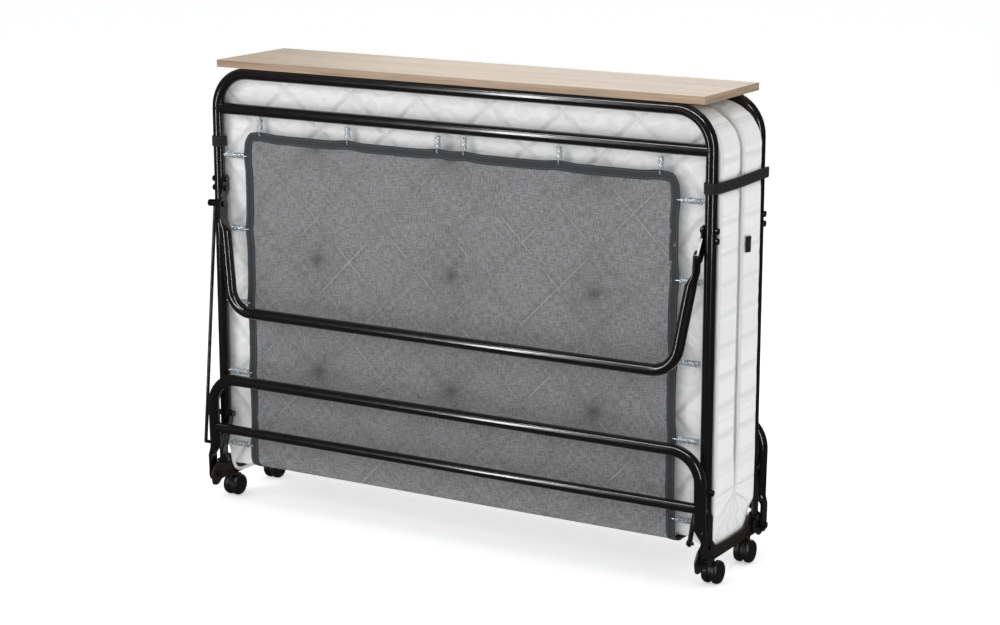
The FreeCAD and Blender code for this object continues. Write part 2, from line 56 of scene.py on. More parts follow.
studio = {
    "cameraPlace": (2.5809, -4.2877, 1.6255),
    "cameraAim": (0.0537, 0.0, 0.4852),
    "lens": 86.25,
    "sky": 0.66,
    "skyInGloss": 0.07,
    "floorTone": 0.86,
    "floorGlow": 0.45,
    "floorInGloss": 0.05,
    "floorReach": 40.0,
    "lamps": (
        # place, aim, width, height, power, seen in gloss
        ("keySoftbox", (-2.4, -3.4, 2.6), (0.0, 0.0, 0.5), 1.6, 2.2, 58.0, False),
        ("fillSoftbox", (4.2, -1.6, 1.9), (0.3, 0.0, 0.5), 1.2, 2.6, 8.0, False),
        ("stripLeft", (-1.5, -3.0, 1.0), (-0.3, 0.0, 0.6), 0.20, 2.4, 48.0, True),
        ("stripRight", (3.1, -2.2, 1.0), (0.5, 0.0, 0.5), 0.18, 2.4, 44.0, True),
        ("stripTop", (0.2, -1.9, 2.7), (0.0, 0.0, 0.5), 3.4, 0.20, 60.0, True),
        ("overhead", (0.4, -0.3, 3.4), (0.0, 0.0, 0.6), 2.6, 1.6, 20.0, False),
        ("rearGlow", (0.8, 3.2, 2.0), (0.0, 0.0, 0.6), 2.2, 1.6, 14.0, False),
        ("rearStrip", (-0.6, 2.6, 2.2), (0.0, 0.0, 0.6), 2.8, 0.20, 34.0, True),
    ),
}


def aimAt(obj, place, aim):
    obj.location = place
    direction = Vector(aim) - Vector(place)
    obj.rotation_euler = direction.to_track_quat("-Z", "Y").to_euler()


def swapInGloss(tree, shown, flags, outlet):
    # the flags stand in for the shown shader wherever a glossy surface mirrors it
    rays = tree.nodes.new("ShaderNodeLightPath")
    choice = tree.nodes.new("ShaderNodeMixShader")
    tree.links.new(rays.outputs["Is Glossy Ray"], choice.inputs[0])
    tree.links.new(shown.outputs[0], choice.inputs[1])
    tree.links.new(flags.outputs[0], choice.inputs[2])
    tree.links.new(choice.outputs[0], tree.nodes[outlet].inputs["Surface"])


def makeStudio():
    scene = bpy.context.scene
    camera = bpy.data.objects.new("camera", bpy.data.cameras.new("camera"))
    scene.collection.objects.link(camera)
    camera.data.lens = studio["lens"]
    camera.data.sensor_width = 36.0
    camera.data.clip_end = 200.0
    aimAt(camera, studio["cameraPlace"], studio["cameraAim"])
    scene.camera = camera
    scene.view_settings.view_transform = "Standard"
    world = bpy.data.worlds.new("paleSky")
    world.use_nodes = True
    tree = world.node_tree
    backdrop = tree.nodes["Background"]
    backdrop.inputs["Color"].default_value = (0.975, 0.985, 1.0, 1.0)
    backdrop.inputs["Strength"].default_value = studio["sky"]
    flags = tree.nodes.new("ShaderNodeBackground")
    flags.inputs["Color"].default_value = (1.0, 0.97, 0.95, 1.0)
    flags.inputs["Strength"].default_value = studio["skyInGloss"]
    swapInGloss(tree, backdrop, flags, "World Output")
    scene.world = world
    for name, place, aim, width, height, power, glossy in studio["lamps"]:
        lamp = bpy.data.lights.new(name, "AREA")
        lamp.shape = "RECTANGLE"
        lamp.size = width
        lamp.size_y = height
        lamp.energy = power
        holder = bpy.data.objects.new(name, lamp)
        holder.visible_glossy = glossy
        holder.visible_diffuse = not glossy
        scene.collection.objects.link(holder)
        aimAt(holder, place, aim)
    tone = studio["floorTone"]
    paper = bpy.data.materials.new("studioPaper")
    paper.use_nodes = True
    shader = paper.node_tree.nodes["Principled BSDF"]
    shader.inputs["Base Color"].default_value = (tone, tone, tone, 1.0)
    shader.inputs["Roughness"].default_value = 0.9
    shader.inputs["Specular IOR Level"].default_value = 0.1
    shader.inputs["Emission Color"].default_value = (1.0, 1.0, 1.0, 1.0)
    shader.inputs["Emission Strength"].default_value = studio["floorGlow"]
    dim = paper.node_tree.nodes.new("ShaderNodeEmission")
    dim.inputs["Strength"].default_value = studio["floorInGloss"]
    swapInGloss(paper.node_tree, shader, dim, "Material Output")
    reach = studio["floorReach"]
    sheet = bpy.data.meshes.new("studioFloor")
    sheet.from_pydata([(-reach, -reach, 0), (reach, -reach, 0), (reach, reach, 0), (-reach, reach, 0)],
                      [], [(0, 1, 2, 3)])
    sheet.materials.append(paper)
    floor = bpy.data.objects.new("studioFloor", sheet)
    scene.collection.objects.link(floor)


makeStudio()
print("studio ready")


quilting = {"pitch": 0.121, "borderPitch": 0.062}


# ---- shared effects, each a node group with its own sockets ----

def startGroup(name, takes, gives):
    # a number makes a value socket, a colour makes a colour socket, and None makes a vector socket
    group = bpy.data.node_groups.new(name, "ShaderNodeTree")
    for label, value in takes.items():
        kind = "Vector" if value is None else "Color" if isinstance(value, tuple) else "Float"
        made = group.interface.new_socket(name=label, in_out="INPUT", socket_type="NodeSocket" + kind)
        if value is not None:
            made.default_value = value
    for label in gives:
        kind = "Color" if label == "Colour" else "Float"
        group.interface.new_socket(name=label, in_out="OUTPUT", socket_type="NodeSocket" + kind)
    return group, group.nodes.new("NodeGroupInput"), group.nodes.new("NodeGroupOutput")


class Bench:
    # lays nodes in one tree and wires them up
    def __init__(self, tree):
        self.tree = tree

    def put(self, kind, wires=None, **settings):
        node = self.tree.nodes.new(kind)
        for key, value in settings.items():
            setattr(node, key, value)
        for socket, source in (wires or {}).items():
            self.feed(node.inputs[socket], source)
        return node

    def feed(self, socket, source):
        if isinstance(source, bpy.types.NodeSocket):
            self.tree.links.new(source, socket)
        else:
            socket.default_value = source

    def sum(self, kind, a, b=0.0, c=0.0):
        node = self.put("ShaderNodeMath", {0: a, 1: b, 2: c}, operation=kind)
        return node.outputs[0]

    def times(self, a, b):
        return self.sum("MULTIPLY", a, b)

    def plus(self, a, b):
        return self.sum("ADD", a, b)

    def less(self, a, b):
        return self.sum("SUBTRACT", a, b)

    def over(self, a, b):
        return self.sum("DIVIDE", a, b)

    def size(self, a):
        return self.sum("ABSOLUTE", a)

    def ramp(self, value, low, high, lowOut=0.0, highOut=1.0):
        node = self.put("ShaderNodeMapRange", {"Value": value, "From Min": low, "From Max": high,
                                               "To Min": lowOut, "To Max": highOut},
                        interpolation_type="SMOOTHSTEP")
        return node.outputs["Result"]

    def mix(self, share, a, b, blend="MIX"):
        node = self.put("ShaderNodeMix", data_type="RGBA", blend_type=blend)
        self.feed(node.inputs[0], share)
        self.feed(node.inputs[6], a)
        self.feed(node.inputs[7], b)
        return node.outputs[2]

    def specks(self, place, scale, detail=2.0, rough=0.5):
        node = self.put("ShaderNodeTexNoise", {"Vector": place, "Scale": scale, "Detail": detail,
                                               "Roughness": rough})
        return node.outputs["Fac"]


def makeCoatPeel():
    # slight ripple of a sprayed coat, with a mask of settled dust
    group, entry, leave = startGroup(
        "coatPeel",
        {"Place": None, "Grain Scale": 900.0, "Dust": 0.3},
        ("Height", "Dust Mask", "Gloss Shift"))
    bench = Bench(group)
    place, scale, dust = (entry.outputs[i] for i in range(3))
    fine = bench.specks(place, scale, 1.0)
    broad = bench.specks(place, 18.0, 4.0, 0.6)
    patch = bench.ramp(broad, 0.45, 0.75)
    bench.feed(leave.inputs["Height"], fine)
    bench.feed(leave.inputs["Dust Mask"], bench.times(patch, dust))
    bench.feed(leave.inputs["Gloss Shift"], bench.times(bench.specks(place, 60.0, 3.0), 0.12))
    return group


def makeWovenThread():
    # over-and-under threads seen from the flat cloth's own coordinates, in metres
    group, entry, leave = startGroup(
        "wovenThread",
        {"Place": None, "Thread Pitch": 0.0015, "Unevenness": 0.2},
        ("Height", "Gap Mask", "Thread Tone"))
    bench = Bench(group)
    place, pitch, uneven = (entry.outputs[i] for i in range(3))
    drift = bench.specks(place, 220.0, 2.0)
    split = bench.put("ShaderNodeSeparateXYZ", {0: place})
    swing = bench.times(bench.less(drift, 0.5), uneven)
    across = bench.plus(bench.over(split.outputs[0], pitch), swing)
    along = bench.plus(bench.over(split.outputs[1], pitch), swing)
    waveA = bench.size(bench.sum("SINE", bench.times(across, math.pi)))
    waveB = bench.size(bench.sum("SINE", bench.times(along, math.pi)))
    check = bench.times(bench.sum("SINE", bench.times(across, math.pi)),
                      bench.sum("SINE", bench.times(along, math.pi)))
    over = bench.ramp(check, -0.15, 0.15)
    high = bench.plus(bench.times(waveA, over),
                     bench.times(waveB, bench.less(1.0, over)))
    gap = bench.ramp(bench.sum("MAXIMUM", waveA, waveB), 0.55, 0.3)
    tone = bench.sum("MULTIPLY_ADD", high, 0.5, bench.times(drift, 0.5))
    bench.feed(leave.inputs["Height"], high)
    bench.feed(leave.inputs["Gap Mask"], gap)
    bench.feed(leave.inputs["Thread Tone"], tone)
    return group


def makeEdgeDust():
    # tints a colour with dust where the piece faces up, and with handling marks elsewhere
    group, entry, leave = startGroup(
        "edgeDust",
        {"Colour": (0.5, 0.5, 0.5, 1.0), "Dust Colour": (0.5, 0.48, 0.45, 1.0), "Mask": 0.2, "Place": None,
         "Facing": None},
        ("Colour", "Dulling"))
    bench = Bench(group)
    colour, dustColour, mask, place, facing = (entry.outputs[i] for i in range(5))
    up = bench.put("ShaderNodeSeparateXYZ", {0: facing}).outputs[2]
    settled = bench.ramp(up, 0.35, 1.0)
    marks = bench.ramp(bench.specks(place, 420.0, 5.0, 0.7), 0.62, 0.78)
    share = bench.times(mask, bench.sum("MAXIMUM", settled, bench.times(marks, 0.5)))
    bench.feed(leave.inputs["Colour"], bench.mix(share, colour, dustColour))
    bench.feed(leave.inputs["Dulling"], share)
    return group


def makeStitchRow():
    # a row of short thread dashes running along one coordinate
    group, entry, leave = startGroup(
        "stitchRow",
        {"Along": 0.0, "Across": 0.0, "Row": 0.004, "Pitch": 0.004, "Thread": 0.0009},
        ("Stitch", "Pucker"))
    bench = Bench(group)
    along, across, row, pitch, thread = (entry.outputs[i] for i in range(5))
    off = bench.size(bench.less(bench.size(across), row))
    beat = bench.sum("FRACT", bench.over(along, pitch))
    dash = bench.ramp(bench.size(bench.less(beat, 0.5)), 0.40, 0.32)
    line = bench.ramp(bench.over(off, thread), 1.0, 0.5)
    bench.feed(leave.inputs["Stitch"], bench.times(dash, line))
    bench.feed(leave.inputs["Pucker"], bench.ramp(bench.over(off, thread), 3.0, 0.5))
    return group


def makeQuiltSeam():
    # thin crossing diagonals on the faces and level seams on the border, from flat cloth coordinates;
    # the third coordinate is 0 on the faces and 1 on the border
    group, entry, leave = startGroup(
        "quiltSeam",
        {"Place": None, "Pitch": 0.121, "Border Pitch": 0.062, "Thread": 0.0012, "Crease": 0.010},
        ("Seam", "Crease"))
    bench = Bench(group)
    place, pitch, borderPitch, thread, crease = (entry.outputs[i] for i in range(5))
    split = bench.put("ShaderNodeSeparateXYZ", {0: place})
    x, s, onBorder = split.outputs[0], split.outputs[1], split.outputs[2]

    def offLine(value, spacing):
        beat = bench.over(value, spacing)
        near = bench.size(bench.less(beat, bench.sum("ROUND", beat)))
        return bench.times(near, spacing)

    root = math.sqrt(0.5)
    rising = offLine(bench.times(bench.plus(x, s), root), pitch)
    falling = offLine(bench.times(bench.less(x, s), root), pitch)
    border = bench.ramp(onBorder, 0.45, 0.55)
    faceOff = bench.sum("MINIMUM", rising, falling)
    away = bench.put("ShaderNodeMix", {0: border}, data_type="FLOAT")
    bench.feed(away.inputs[2], faceOff)
    bench.feed(away.inputs[3], offLine(s, borderPitch))
    ratio = bench.over(away.outputs[0], thread)
    bench.feed(leave.inputs["Seam"], bench.ramp(ratio, 1.2, 0.5))
    bench.feed(leave.inputs["Crease"], bench.ramp(bench.over(away.outputs[0], crease), 1.0, 0.0))
    return group


def makeTimberFigure():
    # long fine figure of oak along the board, with pores
    group, entry, leave = startGroup(
        "timberFigure",
        {"Place": None, "Figure Scale": 1.0},
        ("Figure", "Pores", "Height"))
    bench = Bench(group)
    place, scale = entry.outputs[0], entry.outputs[1]
    long = bench.put("ShaderNodeMapping", {"Vector": place, "Scale": (1.4, 26.0, 26.0)}).outputs[0]
    bend = bench.specks(long, 1.0, 3.0, 0.5)
    bands = bench.put("ShaderNodeTexWave", {"Vector": long, "Scale": bench.times(scale, 0.9),
                                            "Distortion": 5.0, "Detail": 3.0, "Detail Scale": 1.3},
                      wave_type="BANDS", bands_direction="Y").outputs["Fac"]
    thin = bench.put("ShaderNodeMapping", {"Vector": place, "Scale": (9.0, 420.0, 420.0)}).outputs[0]
    pores = bench.ramp(bench.specks(thin, 1.0, 3.0, 0.65), 0.52, 0.72)
    figure = bench.plus(bench.times(bands, 0.16), bench.times(bend, 0.9))
    bench.feed(leave.inputs["Figure"], figure)
    bench.feed(leave.inputs["Pores"], pores)
    bench.feed(leave.inputs["Height"], bench.sum("MULTIPLY_ADD", figure, 0.3, bench.times(pores, -0.5)))
    return group


coatPeel = makeCoatPeel()
wovenThread = makeWovenThread()
edgeDust = makeEdgeDust()
stitchRow = makeStitchRow()
timberFigure = makeTimberFigure()
quiltSeam = makeQuiltSeam()
print("effect groups built")


# ---- materials ----

def startMaterial(name, **constants):
    material = bpy.data.materials.new(name)
    material.use_nodes = True
    tree = material.node_tree
    shader = tree.nodes["Principled BSDF"]
    for label, value in constants.items():
        shader.inputs[label.replace("_", " ")].default_value = value
    bench = Bench(tree)
    seat = bench.put("ShaderNodeTexCoord")
    return material, bench, shader, seat


def useGroup(bench, group, **wires):
    node = bench.put("ShaderNodeGroup", node_tree=group)
    for label, value in wires.items():
        bench.feed(node.inputs[label.replace("_", " ")], value)
    return node


def clothSeat(bench):
    return bench.put("ShaderNodeAttribute", attribute_name="clothPlace").outputs["Vector"]


def bumpInto(bench, shader, height, strength, distance, under=None):
    wires = {"Height": height, "Strength": strength, "Distance": distance}
    if under is not None:
        wires["Normal"] = under
    bump = bench.put("ShaderNodeBump", wires)
    bench.feed(shader.inputs["Normal"], bump.outputs[0])
    return bump.outputs[0]


glossTube = {"tone": (0.0058, 0.0046, 0.0046, 1.0), "rough": 0.17, "dust": 0.03, "peel": 0.05}
satinPlate = {"tone": (0.021, 0.0140, 0.0110, 1.0), "rough": 0.36, "dust": 0.08, "peel": 0.16}


def dustyCoat(bench, seat, tone, dustTone, grain, dust):
    # colour under settled dust, the dust's dulling, and the coat's own ripple
    place = seat.outputs["Object"]
    peel = useGroup(bench, coatPeel, Place=place, Grain_Scale=grain, Dust=dust)
    dusty = useGroup(bench, edgeDust, Colour=tone, Dust_Colour=dustTone, Mask=peel.outputs["Dust Mask"],
                     Place=place, Facing=seat.outputs["Normal"])
    return dusty.outputs["Colour"], dusty.outputs["Dulling"], peel


def makeSprayed(name, finish, coat):
    material, bench, shader, seat = startMaterial(name, Specular_IOR_Level=0.4, Coat_Weight=coat,
                                                  Coat_Roughness=0.05)
    colour, dulling, peel = dustyCoat(bench, seat, finish["tone"], (0.16, 0.15, 0.14, 1.0), 700.0,
                                      finish["dust"])
    bench.feed(shader.inputs["Base Color"], colour)
    rough = bench.plus(bench.plus(peel.outputs["Gloss Shift"], finish["rough"] - 0.05),
                       bench.times(dulling, 0.4))
    bench.feed(shader.inputs["Roughness"], rough)
    bumpInto(bench, shader, peel.outputs["Height"], finish["peel"], 0.0004)
    return material


def makeZinc():
    material, bench, shader, seat = startMaterial("brightZinc", Metallic=0.6)
    clouds = bench.specks(seat.outputs["Object"], 140.0, 4.0, 0.6)
    tone = bench.mix(bench.ramp(clouds, 0.3, 0.7), (0.47, 0.53, 0.58, 1.0), (0.74, 0.78, 0.80, 1.0))
    colour, _, peel = dustyCoat(bench, seat, tone, (0.30, 0.29, 0.27, 1.0), 1500.0, 0.2)
    bench.feed(shader.inputs["Base Color"], colour)
    bench.feed(shader.inputs["Roughness"], bench.ramp(clouds, 0.2, 0.8, 0.18, 0.36))
    bumpInto(bench, shader, peel.outputs["Height"], 0.1, 0.0002)
    return material


def makeBoard():
    # oak-look laminate: pale top, browner edge band with the core just showing; the band tones are also
    # darkened as painted shade on the sides
    material, bench, shader, seat = startMaterial("oakLaminate", Specular_IOR_Level=0.18)
    place = seat.outputs["Object"]
    aside = bench.put("ShaderNodeSeparateXYZ", {0: place})
    x, y, z = aside.outputs
    turned = bench.put("ShaderNodeCombineXYZ", {0: y, 1: z, 2: x}).outputs[0]
    endways = bench.size(bench.put("ShaderNodeSeparateXYZ", {0: seat.outputs["Normal"]}).outputs[0])
    along = bench.mix(bench.ramp(endways, 0.6, 0.7), place, turned)
    grain = useGroup(bench, timberFigure, Place=along, Figure_Scale=1.0)
    depth = bench.ramp(grain.outputs["Figure"], 0.25, 0.85)
    face = bench.mix(depth, (0.61, 0.485, 0.365, 1.0), (0.48, 0.375, 0.28, 1.0))
    face = bench.mix(bench.times(grain.outputs["Pores"], 0.32), face, (0.36, 0.27, 0.19, 1.0))
    # painted shade: the edge band tones are darker than the laminate's own colour, for the shade on the sides
    band = bench.mix(depth, (0.46, 0.335, 0.235, 1.0), (0.22, 0.150, 0.100, 1.0))
    band = bench.mix(bench.times(grain.outputs["Pores"], 0.5), band, (0.13, 0.08, 0.05, 1.0))
    up = bench.put("ShaderNodeSeparateXYZ", {0: seat.outputs["Normal"]}).outputs[2]
    flat = bench.ramp(up, 0.55, 0.9)
    board = bench.mix(flat, band, face)
    under = bench.ramp(up, -0.55, -0.9)
    board = bench.mix(under, board, (0.52, 0.44, 0.36, 1.0))
    dusty = useGroup(bench, edgeDust, Colour=board, Dust_Colour=(0.70, 0.66, 0.61, 1.0),
                     Mask=bench.times(bench.specks(place, 9.0, 3.0), 0.10), Place=place,
                     Facing=seat.outputs["Normal"])
    bench.feed(shader.inputs["Base Color"], dusty.outputs["Colour"])
    bench.feed(shader.inputs["Roughness"], bench.ramp(grain.outputs["Pores"], 0.0, 1.0, 0.42, 0.62))
    bumpInto(bench, shader, grain.outputs["Height"], 0.35, 0.0006)
    return material


def makeTicking():
    # white knitted cover with a faint scrolling figure; the quilting seam lines, grooves and tufts are
    # darkened as painted shade
    material, bench, shader, _ = startMaterial("quiltedTicking", Sheen_Weight=0.25, Sheen_Roughness=0.5,
                                                  Specular_IOR_Level=0.25)
    place = clothSeat(bench)
    weave = useGroup(bench, wovenThread, Place=place, Thread_Pitch=0.0011, Unevenness=0.8)
    curl = bench.put("ShaderNodeTexWave", {"Vector": place, "Scale": 9.0, "Distortion": 11.0, "Detail": 2.0,
                                           "Detail Scale": 2.2}, wave_type="RINGS").outputs["Fac"]
    figure = bench.ramp(curl, 0.42, 0.58)
    cream = bench.mix(figure, (0.80, 0.80, 0.79, 1.0), (0.86, 0.86, 0.855, 1.0))
    cloud = bench.ramp(bench.specks(place, 7.0, 4.0, 0.6), 0.35, 0.7)
    cream = bench.mix(bench.times(cloud, 0.22), cream, (0.76, 0.76, 0.75, 1.0))
    cream = bench.mix(bench.times(weave.outputs["Gap Mask"], 0.12), cream, (0.5, 0.5, 0.49, 1.0))
    # painted shade: darker in the quilting grooves and tuft dimples, from the seamShade attribute
    seamShade = bench.put("ShaderNodeAttribute", attribute_name="seamShade").outputs["Fac"]
    cream = bench.mix(bench.times(seamShade, 0.30), cream, (0.50, 0.50, 0.49, 1.0))
    quilt = useGroup(bench, quiltSeam, Place=place, Pitch=quilting["pitch"],
                     Border_Pitch=quilting["borderPitch"])
    # painted shade along the quilting seam lines
    cream = bench.mix(bench.times(quilt.outputs["Seam"], 0.30), cream, (0.46, 0.455, 0.44, 1.0))
    bench.feed(shader.inputs["Base Color"], cream)
    bench.feed(shader.inputs["Roughness"], bench.ramp(figure, 0.0, 1.0, 0.86, 0.62))
    low = bench.put("ShaderNodeBump", {"Height": bench.sum("MULTIPLY_ADD", figure, 0.6,
                                                          bench.specks(place, 75.0, 4.0, 0.65)),
                                       "Strength": 0.28, "Distance": 0.0010}).outputs[0]
    sunk = bench.put("ShaderNodeBump", {"Height": bench.times(quilt.outputs["Crease"], -1.0), "Strength": 0.7,
                                        "Distance": 0.0034, "Normal": low}).outputs[0]
    bumpInto(bench, shader, weave.outputs["Height"], 0.18, 0.0003, sunk)
    return material


def makePipingCloth():
    material, bench, shader, _ = startMaterial("creamPiping", Sheen_Weight=0.2, Specular_IOR_Level=0.3)
    place = clothSeat(bench)
    weave = useGroup(bench, wovenThread, Place=place, Thread_Pitch=0.0012, Unevenness=0.5)
    tone = bench.mix(bench.specks(place, 30.0, 3.0), (0.78, 0.765, 0.725, 1.0), (0.86, 0.85, 0.82, 1.0))
    tone = bench.mix(bench.times(weave.outputs["Gap Mask"], 0.3), tone, (0.42, 0.39, 0.34, 1.0))
    bench.feed(shader.inputs["Base Color"], tone)
    bench.feed(shader.inputs["Roughness"], bench.ramp(weave.outputs["Thread Tone"], 0.0, 1.0, 0.6, 0.8))
    bumpInto(bench, shader, weave.outputs["Height"], 0.5, 0.0005)
    return material


slingCloth = {
    "thread": (0.305, 0.307, 0.311, 1.0),
    "deep": (0.098, 0.100, 0.104, 1.0),
    "cover": 0.86,
    "pitch": 0.0019,
}


def makeSlingMesh():
    # open weave; painted light draws pale lines along the quilting seams behind it, and painted shade darkens
    # the quilting creases and the tuft dimples
    material, bench, shader, _ = startMaterial("wovenSling", Specular_IOR_Level=0.35, Sheen_Weight=0.06)
    place = clothSeat(bench)
    weave = useGroup(bench, wovenThread, Place=place, Thread_Pitch=slingCloth["pitch"], Unevenness=0.9)
    slub = bench.put("ShaderNodeMapping", {"Vector": place, "Scale": (60.0, 520.0, 1.0)}).outputs[0]
    rib = bench.put("ShaderNodeMapping", {"Vector": place, "Scale": (520.0, 60.0, 1.0)}).outputs[0]
    streak = bench.plus(bench.times(bench.specks(slub, 1.0, 2.0), 0.5),
                       bench.times(bench.specks(rib, 1.0, 2.0), 0.5))
    tone = bench.mix(bench.ramp(streak, 0.40, 0.60), slingCloth["deep"], slingCloth["thread"])
    tone = bench.mix(bench.times(weave.outputs["Thread Tone"], 0.35), tone, slingCloth["thread"])
    tone = bench.mix(bench.times(weave.outputs["Gap Mask"], 0.8), tone, (0.04, 0.04, 0.043, 1.0))
    quilt = useGroup(bench, quiltSeam, Place=place, Pitch=quilting["pitch"], Thread=0.0011, Crease=0.016)
    # painted light: pale lines along the quilting seams, patchy in strength
    seamLightPatches = bench.ramp(bench.specks(place, 6.0, 3.0, 0.6), 0.45, 0.62)
    tone = bench.mix(bench.times(quilt.outputs["Seam"], bench.times(seamLightPatches, 0.65)), tone,
                     (0.62, 0.62, 0.61, 1.0))
    # painted shade along the quilting creases and in the tuft dimples
    tone = bench.mix(bench.times(quilt.outputs["Crease"], 0.16), tone, (0.05, 0.05, 0.052, 1.0))
    tuftShade = bench.put("ShaderNodeAttribute", attribute_name="seamShade").outputs["Fac"]
    tone = bench.mix(bench.times(tuftShade, 0.85), tone, (0.035, 0.035, 0.037, 1.0))
    bench.feed(shader.inputs["Base Color"], tone)
    bench.feed(shader.inputs["Roughness"], bench.ramp(weave.outputs["Thread Tone"], 0.0, 1.0, 0.48, 0.72))
    cover = bench.less(slingCloth["cover"], bench.times(weave.outputs["Gap Mask"], 0.55))
    bench.feed(shader.inputs["Alpha"], cover)
    bumpInto(bench, shader, bench.plus(weave.outputs["Height"], streak), 0.6, 0.0008)
    return material


def makeTape(name, tone, threadTone, rows, rough):
    # woven tape; clothPlace holds metres along, across and round
    material, bench, shader, _ = startMaterial(name, Specular_IOR_Level=0.25, Sheen_Weight=0.04)
    place = clothSeat(bench)
    weave = useGroup(bench, wovenThread, Place=place, Thread_Pitch=0.0013, Unevenness=0.4)
    split = bench.put("ShaderNodeSeparateXYZ", {0: place})
    colour = bench.mix(bench.specks(place, 55.0, 4.0, 0.6), tone, tuple(c * 1.45 for c in tone[:3]) + (1.0,))
    colour = bench.mix(bench.times(weave.outputs["Gap Mask"], 0.6), colour,
                       tuple(c * 0.35 for c in tone[:3]) + (1.0,))
    under = None
    for row in rows:
        stitch = useGroup(bench, stitchRow, Along=split.outputs[0], Across=split.outputs[1], Row=row,
                          Pitch=0.0042, Thread=0.0007)
        colour = bench.mix(stitch.outputs["Stitch"], colour, threadTone)
        raised = bench.sum("MULTIPLY_ADD", stitch.outputs["Pucker"], -1.0, stitch.outputs["Stitch"])
        wires = {"Height": raised, "Strength": 0.6, "Distance": 0.001}
        if under is not None:
            wires["Normal"] = under
        under = bench.put("ShaderNodeBump", wires).outputs[0]
    bench.feed(shader.inputs["Base Color"], colour)
    bench.feed(shader.inputs["Roughness"],
               bench.ramp(weave.outputs["Thread Tone"], 0.0, 1.0, rough - 0.12, rough))
    bumpInto(bench, shader, weave.outputs["Height"], 0.5, 0.0005, under)
    return material


def makeMoulded(name, tone, rough, ribs):
    material, bench, shader, seat = startMaterial(name, Specular_IOR_Level=0.45)
    place = seat.outputs["Object"]
    colour, _, peel = dustyCoat(bench, seat, tone, (0.11, 0.105, 0.10, 1.0), 1400.0, 0.35)
    bench.feed(shader.inputs["Base Color"], colour)
    bench.feed(shader.inputs["Roughness"], bench.plus(peel.outputs["Gloss Shift"], rough))
    height = bench.plus(peel.outputs["Height"], bench.times(bench.specks(place, 240.0, 2.0), ribs))
    bumpInto(bench, shader, height, 0.25, 0.0004)
    return material


frameBlack = makeSprayed("glossBlackCoat", glossTube, 0.35)
plateCoat = makeSprayed("satinBrownBlackCoat", satinPlate, 0.0)
zinc = makeZinc()
board = makeBoard()
ticking = makeTicking()
pipingCloth = makePipingCloth()
slingMesh = makeSlingMesh()
bindingTape = makeTape("slateBinding", (0.030, 0.033, 0.037, 1.0), (0.11, 0.12, 0.13, 1.0), (0.0068,), 0.85)
webbing = makeTape("blackWebbing", (0.0105, 0.0098, 0.0102, 1.0), (0.04, 0.04, 0.042, 1.0), (0.0088,), 0.8)
labelCloth = makeTape("blackLabel", (0.0045, 0.0045, 0.0045, 1.0), (0.012, 0.012, 0.012, 1.0), (0.009,), 0.7)
castorBody = makeMoulded("castorHousingPlastic", (0.0085, 0.0080, 0.0085, 1.0), 0.34, 0.2)
castorTread = makeMoulded("castorWheelPlastic", (0.0075, 0.0070, 0.0075, 1.0), 0.26, 0.5)

finishOfSlot = {
    "board": board, "frame_black": frameBlack, "plate": plateCoat, "ticking": ticking, "mesh": slingMesh,
    "binding": bindingTape, "zinc": zinc, "webbing": webbing, "castor_body": castorBody,
    "castor_tread": castorTread,
}
for part in frame["record"]["subparts"]:
    mesh = nodes[part["node"]].data
    mesh.materials.clear()
    mesh.materials.append(finishOfSlot[part["material_slot"]])
print("materials placed")


# ---- mesh helpers ----

def addPiece(name, points, faces, material, clothPlace=None, seamShade=None):
    mesh = bpy.data.meshes.new(name)
    mesh.from_pydata(np.asarray(points, float).tolist(), [], [tuple(int(i) for i in f) for f in faces])
    mesh.polygons.foreach_set("use_smooth", [True] * len(mesh.polygons))
    if clothPlace is not None:
        flat = mesh.attributes.new("clothPlace", "FLOAT_VECTOR", "POINT")
        flat.data.foreach_set("vector", np.asarray(clothPlace, np.float32).ravel())
    if seamShade is not None:
        shade = mesh.attributes.new("seamShade", "FLOAT", "POINT")
        shade.data.foreach_set("value", np.asarray(seamShade, np.float32).ravel())
    mesh.materials.append(material)
    mesh.update()
    obj = bpy.data.objects.new(name, mesh)
    bpy.context.scene.collection.objects.link(obj)
    return obj


def turnOutward(obj):
    mesh = obj.data
    mesh.flip_normals()
    mesh.update()


def gridFaces(rows, columns, closed=False):
    faces = []
    last = columns if closed else columns - 1
    for r in range(rows - 1):
        for c in range(last):
            n = (c + 1) % columns
            faces.append((r * columns + c, r * columns + n, (r + 1) * columns + n, (r + 1) * columns + c))
    return faces


def smooth(value, low, high):
    t = np.clip((np.asarray(value, float) - low) / (high - low), 0.0, 1.0)
    return t * t * (3.0 - 2.0 * t)


def soften(points, seed, scale):
    # repeatable noise at each point, from -1 to 1
    shifted = np.asarray(points) * scale + np.array([seed, -seed, 0.0])
    return np.array([noise.noise(Vector(p)) for p in shifted])


def spacedEnds(low, high, step, fine, margin):
    # positions from low to high, finer inside the margins at the ends
    inner = np.arange(low + margin, high - margin, step)
    start = np.arange(low, low + margin, fine)
    finish = high - (start[::-1] - low)
    apart = (inner > start[-1] + fine * 0.6) & (inner < finish[0] - fine * 0.6)
    return np.concatenate([start, inner[apart], finish])


# ---- mattress ----

mattress = {
    "halfWidth": 0.6090,
    "thickness": 0.093,
    "innerFace": 0.002,
    "top": 0.9625,
    "straightFrom": 0.190,
    "foldLow": 0.084,
    "foldRadius": 0.036,
    "foldFlat": 0.059,
    "creaseTop": 0.165,
    "cornerRadius": 0.088,
    "edgeRadius": 0.0075,
    "quiltDepth": 0.0034,
    "borderPuff": 0.0060,
    "gather": 0.0042,
    "droop": 0.015,
    "innerTuck": 0.0080,
    "pipingRadius": 0.0044,
    "grooveWidth": 0.009,
    "tuftDepth": 0.0075,
    "tuftRadius": 0.020,
    "tuftSpread": 0.055,
    "seamWidth": 0.0050,
    "seamDepth": 0.0016,
}
m = mattress
foldRun = m["foldFlat"] + m["foldRadius"] * math.pi / 2 + (m["straightFrom"] - m["foldLow"] - m["foldRadius"])
flatLength = foldRun + m["top"] - m["straightFrom"]


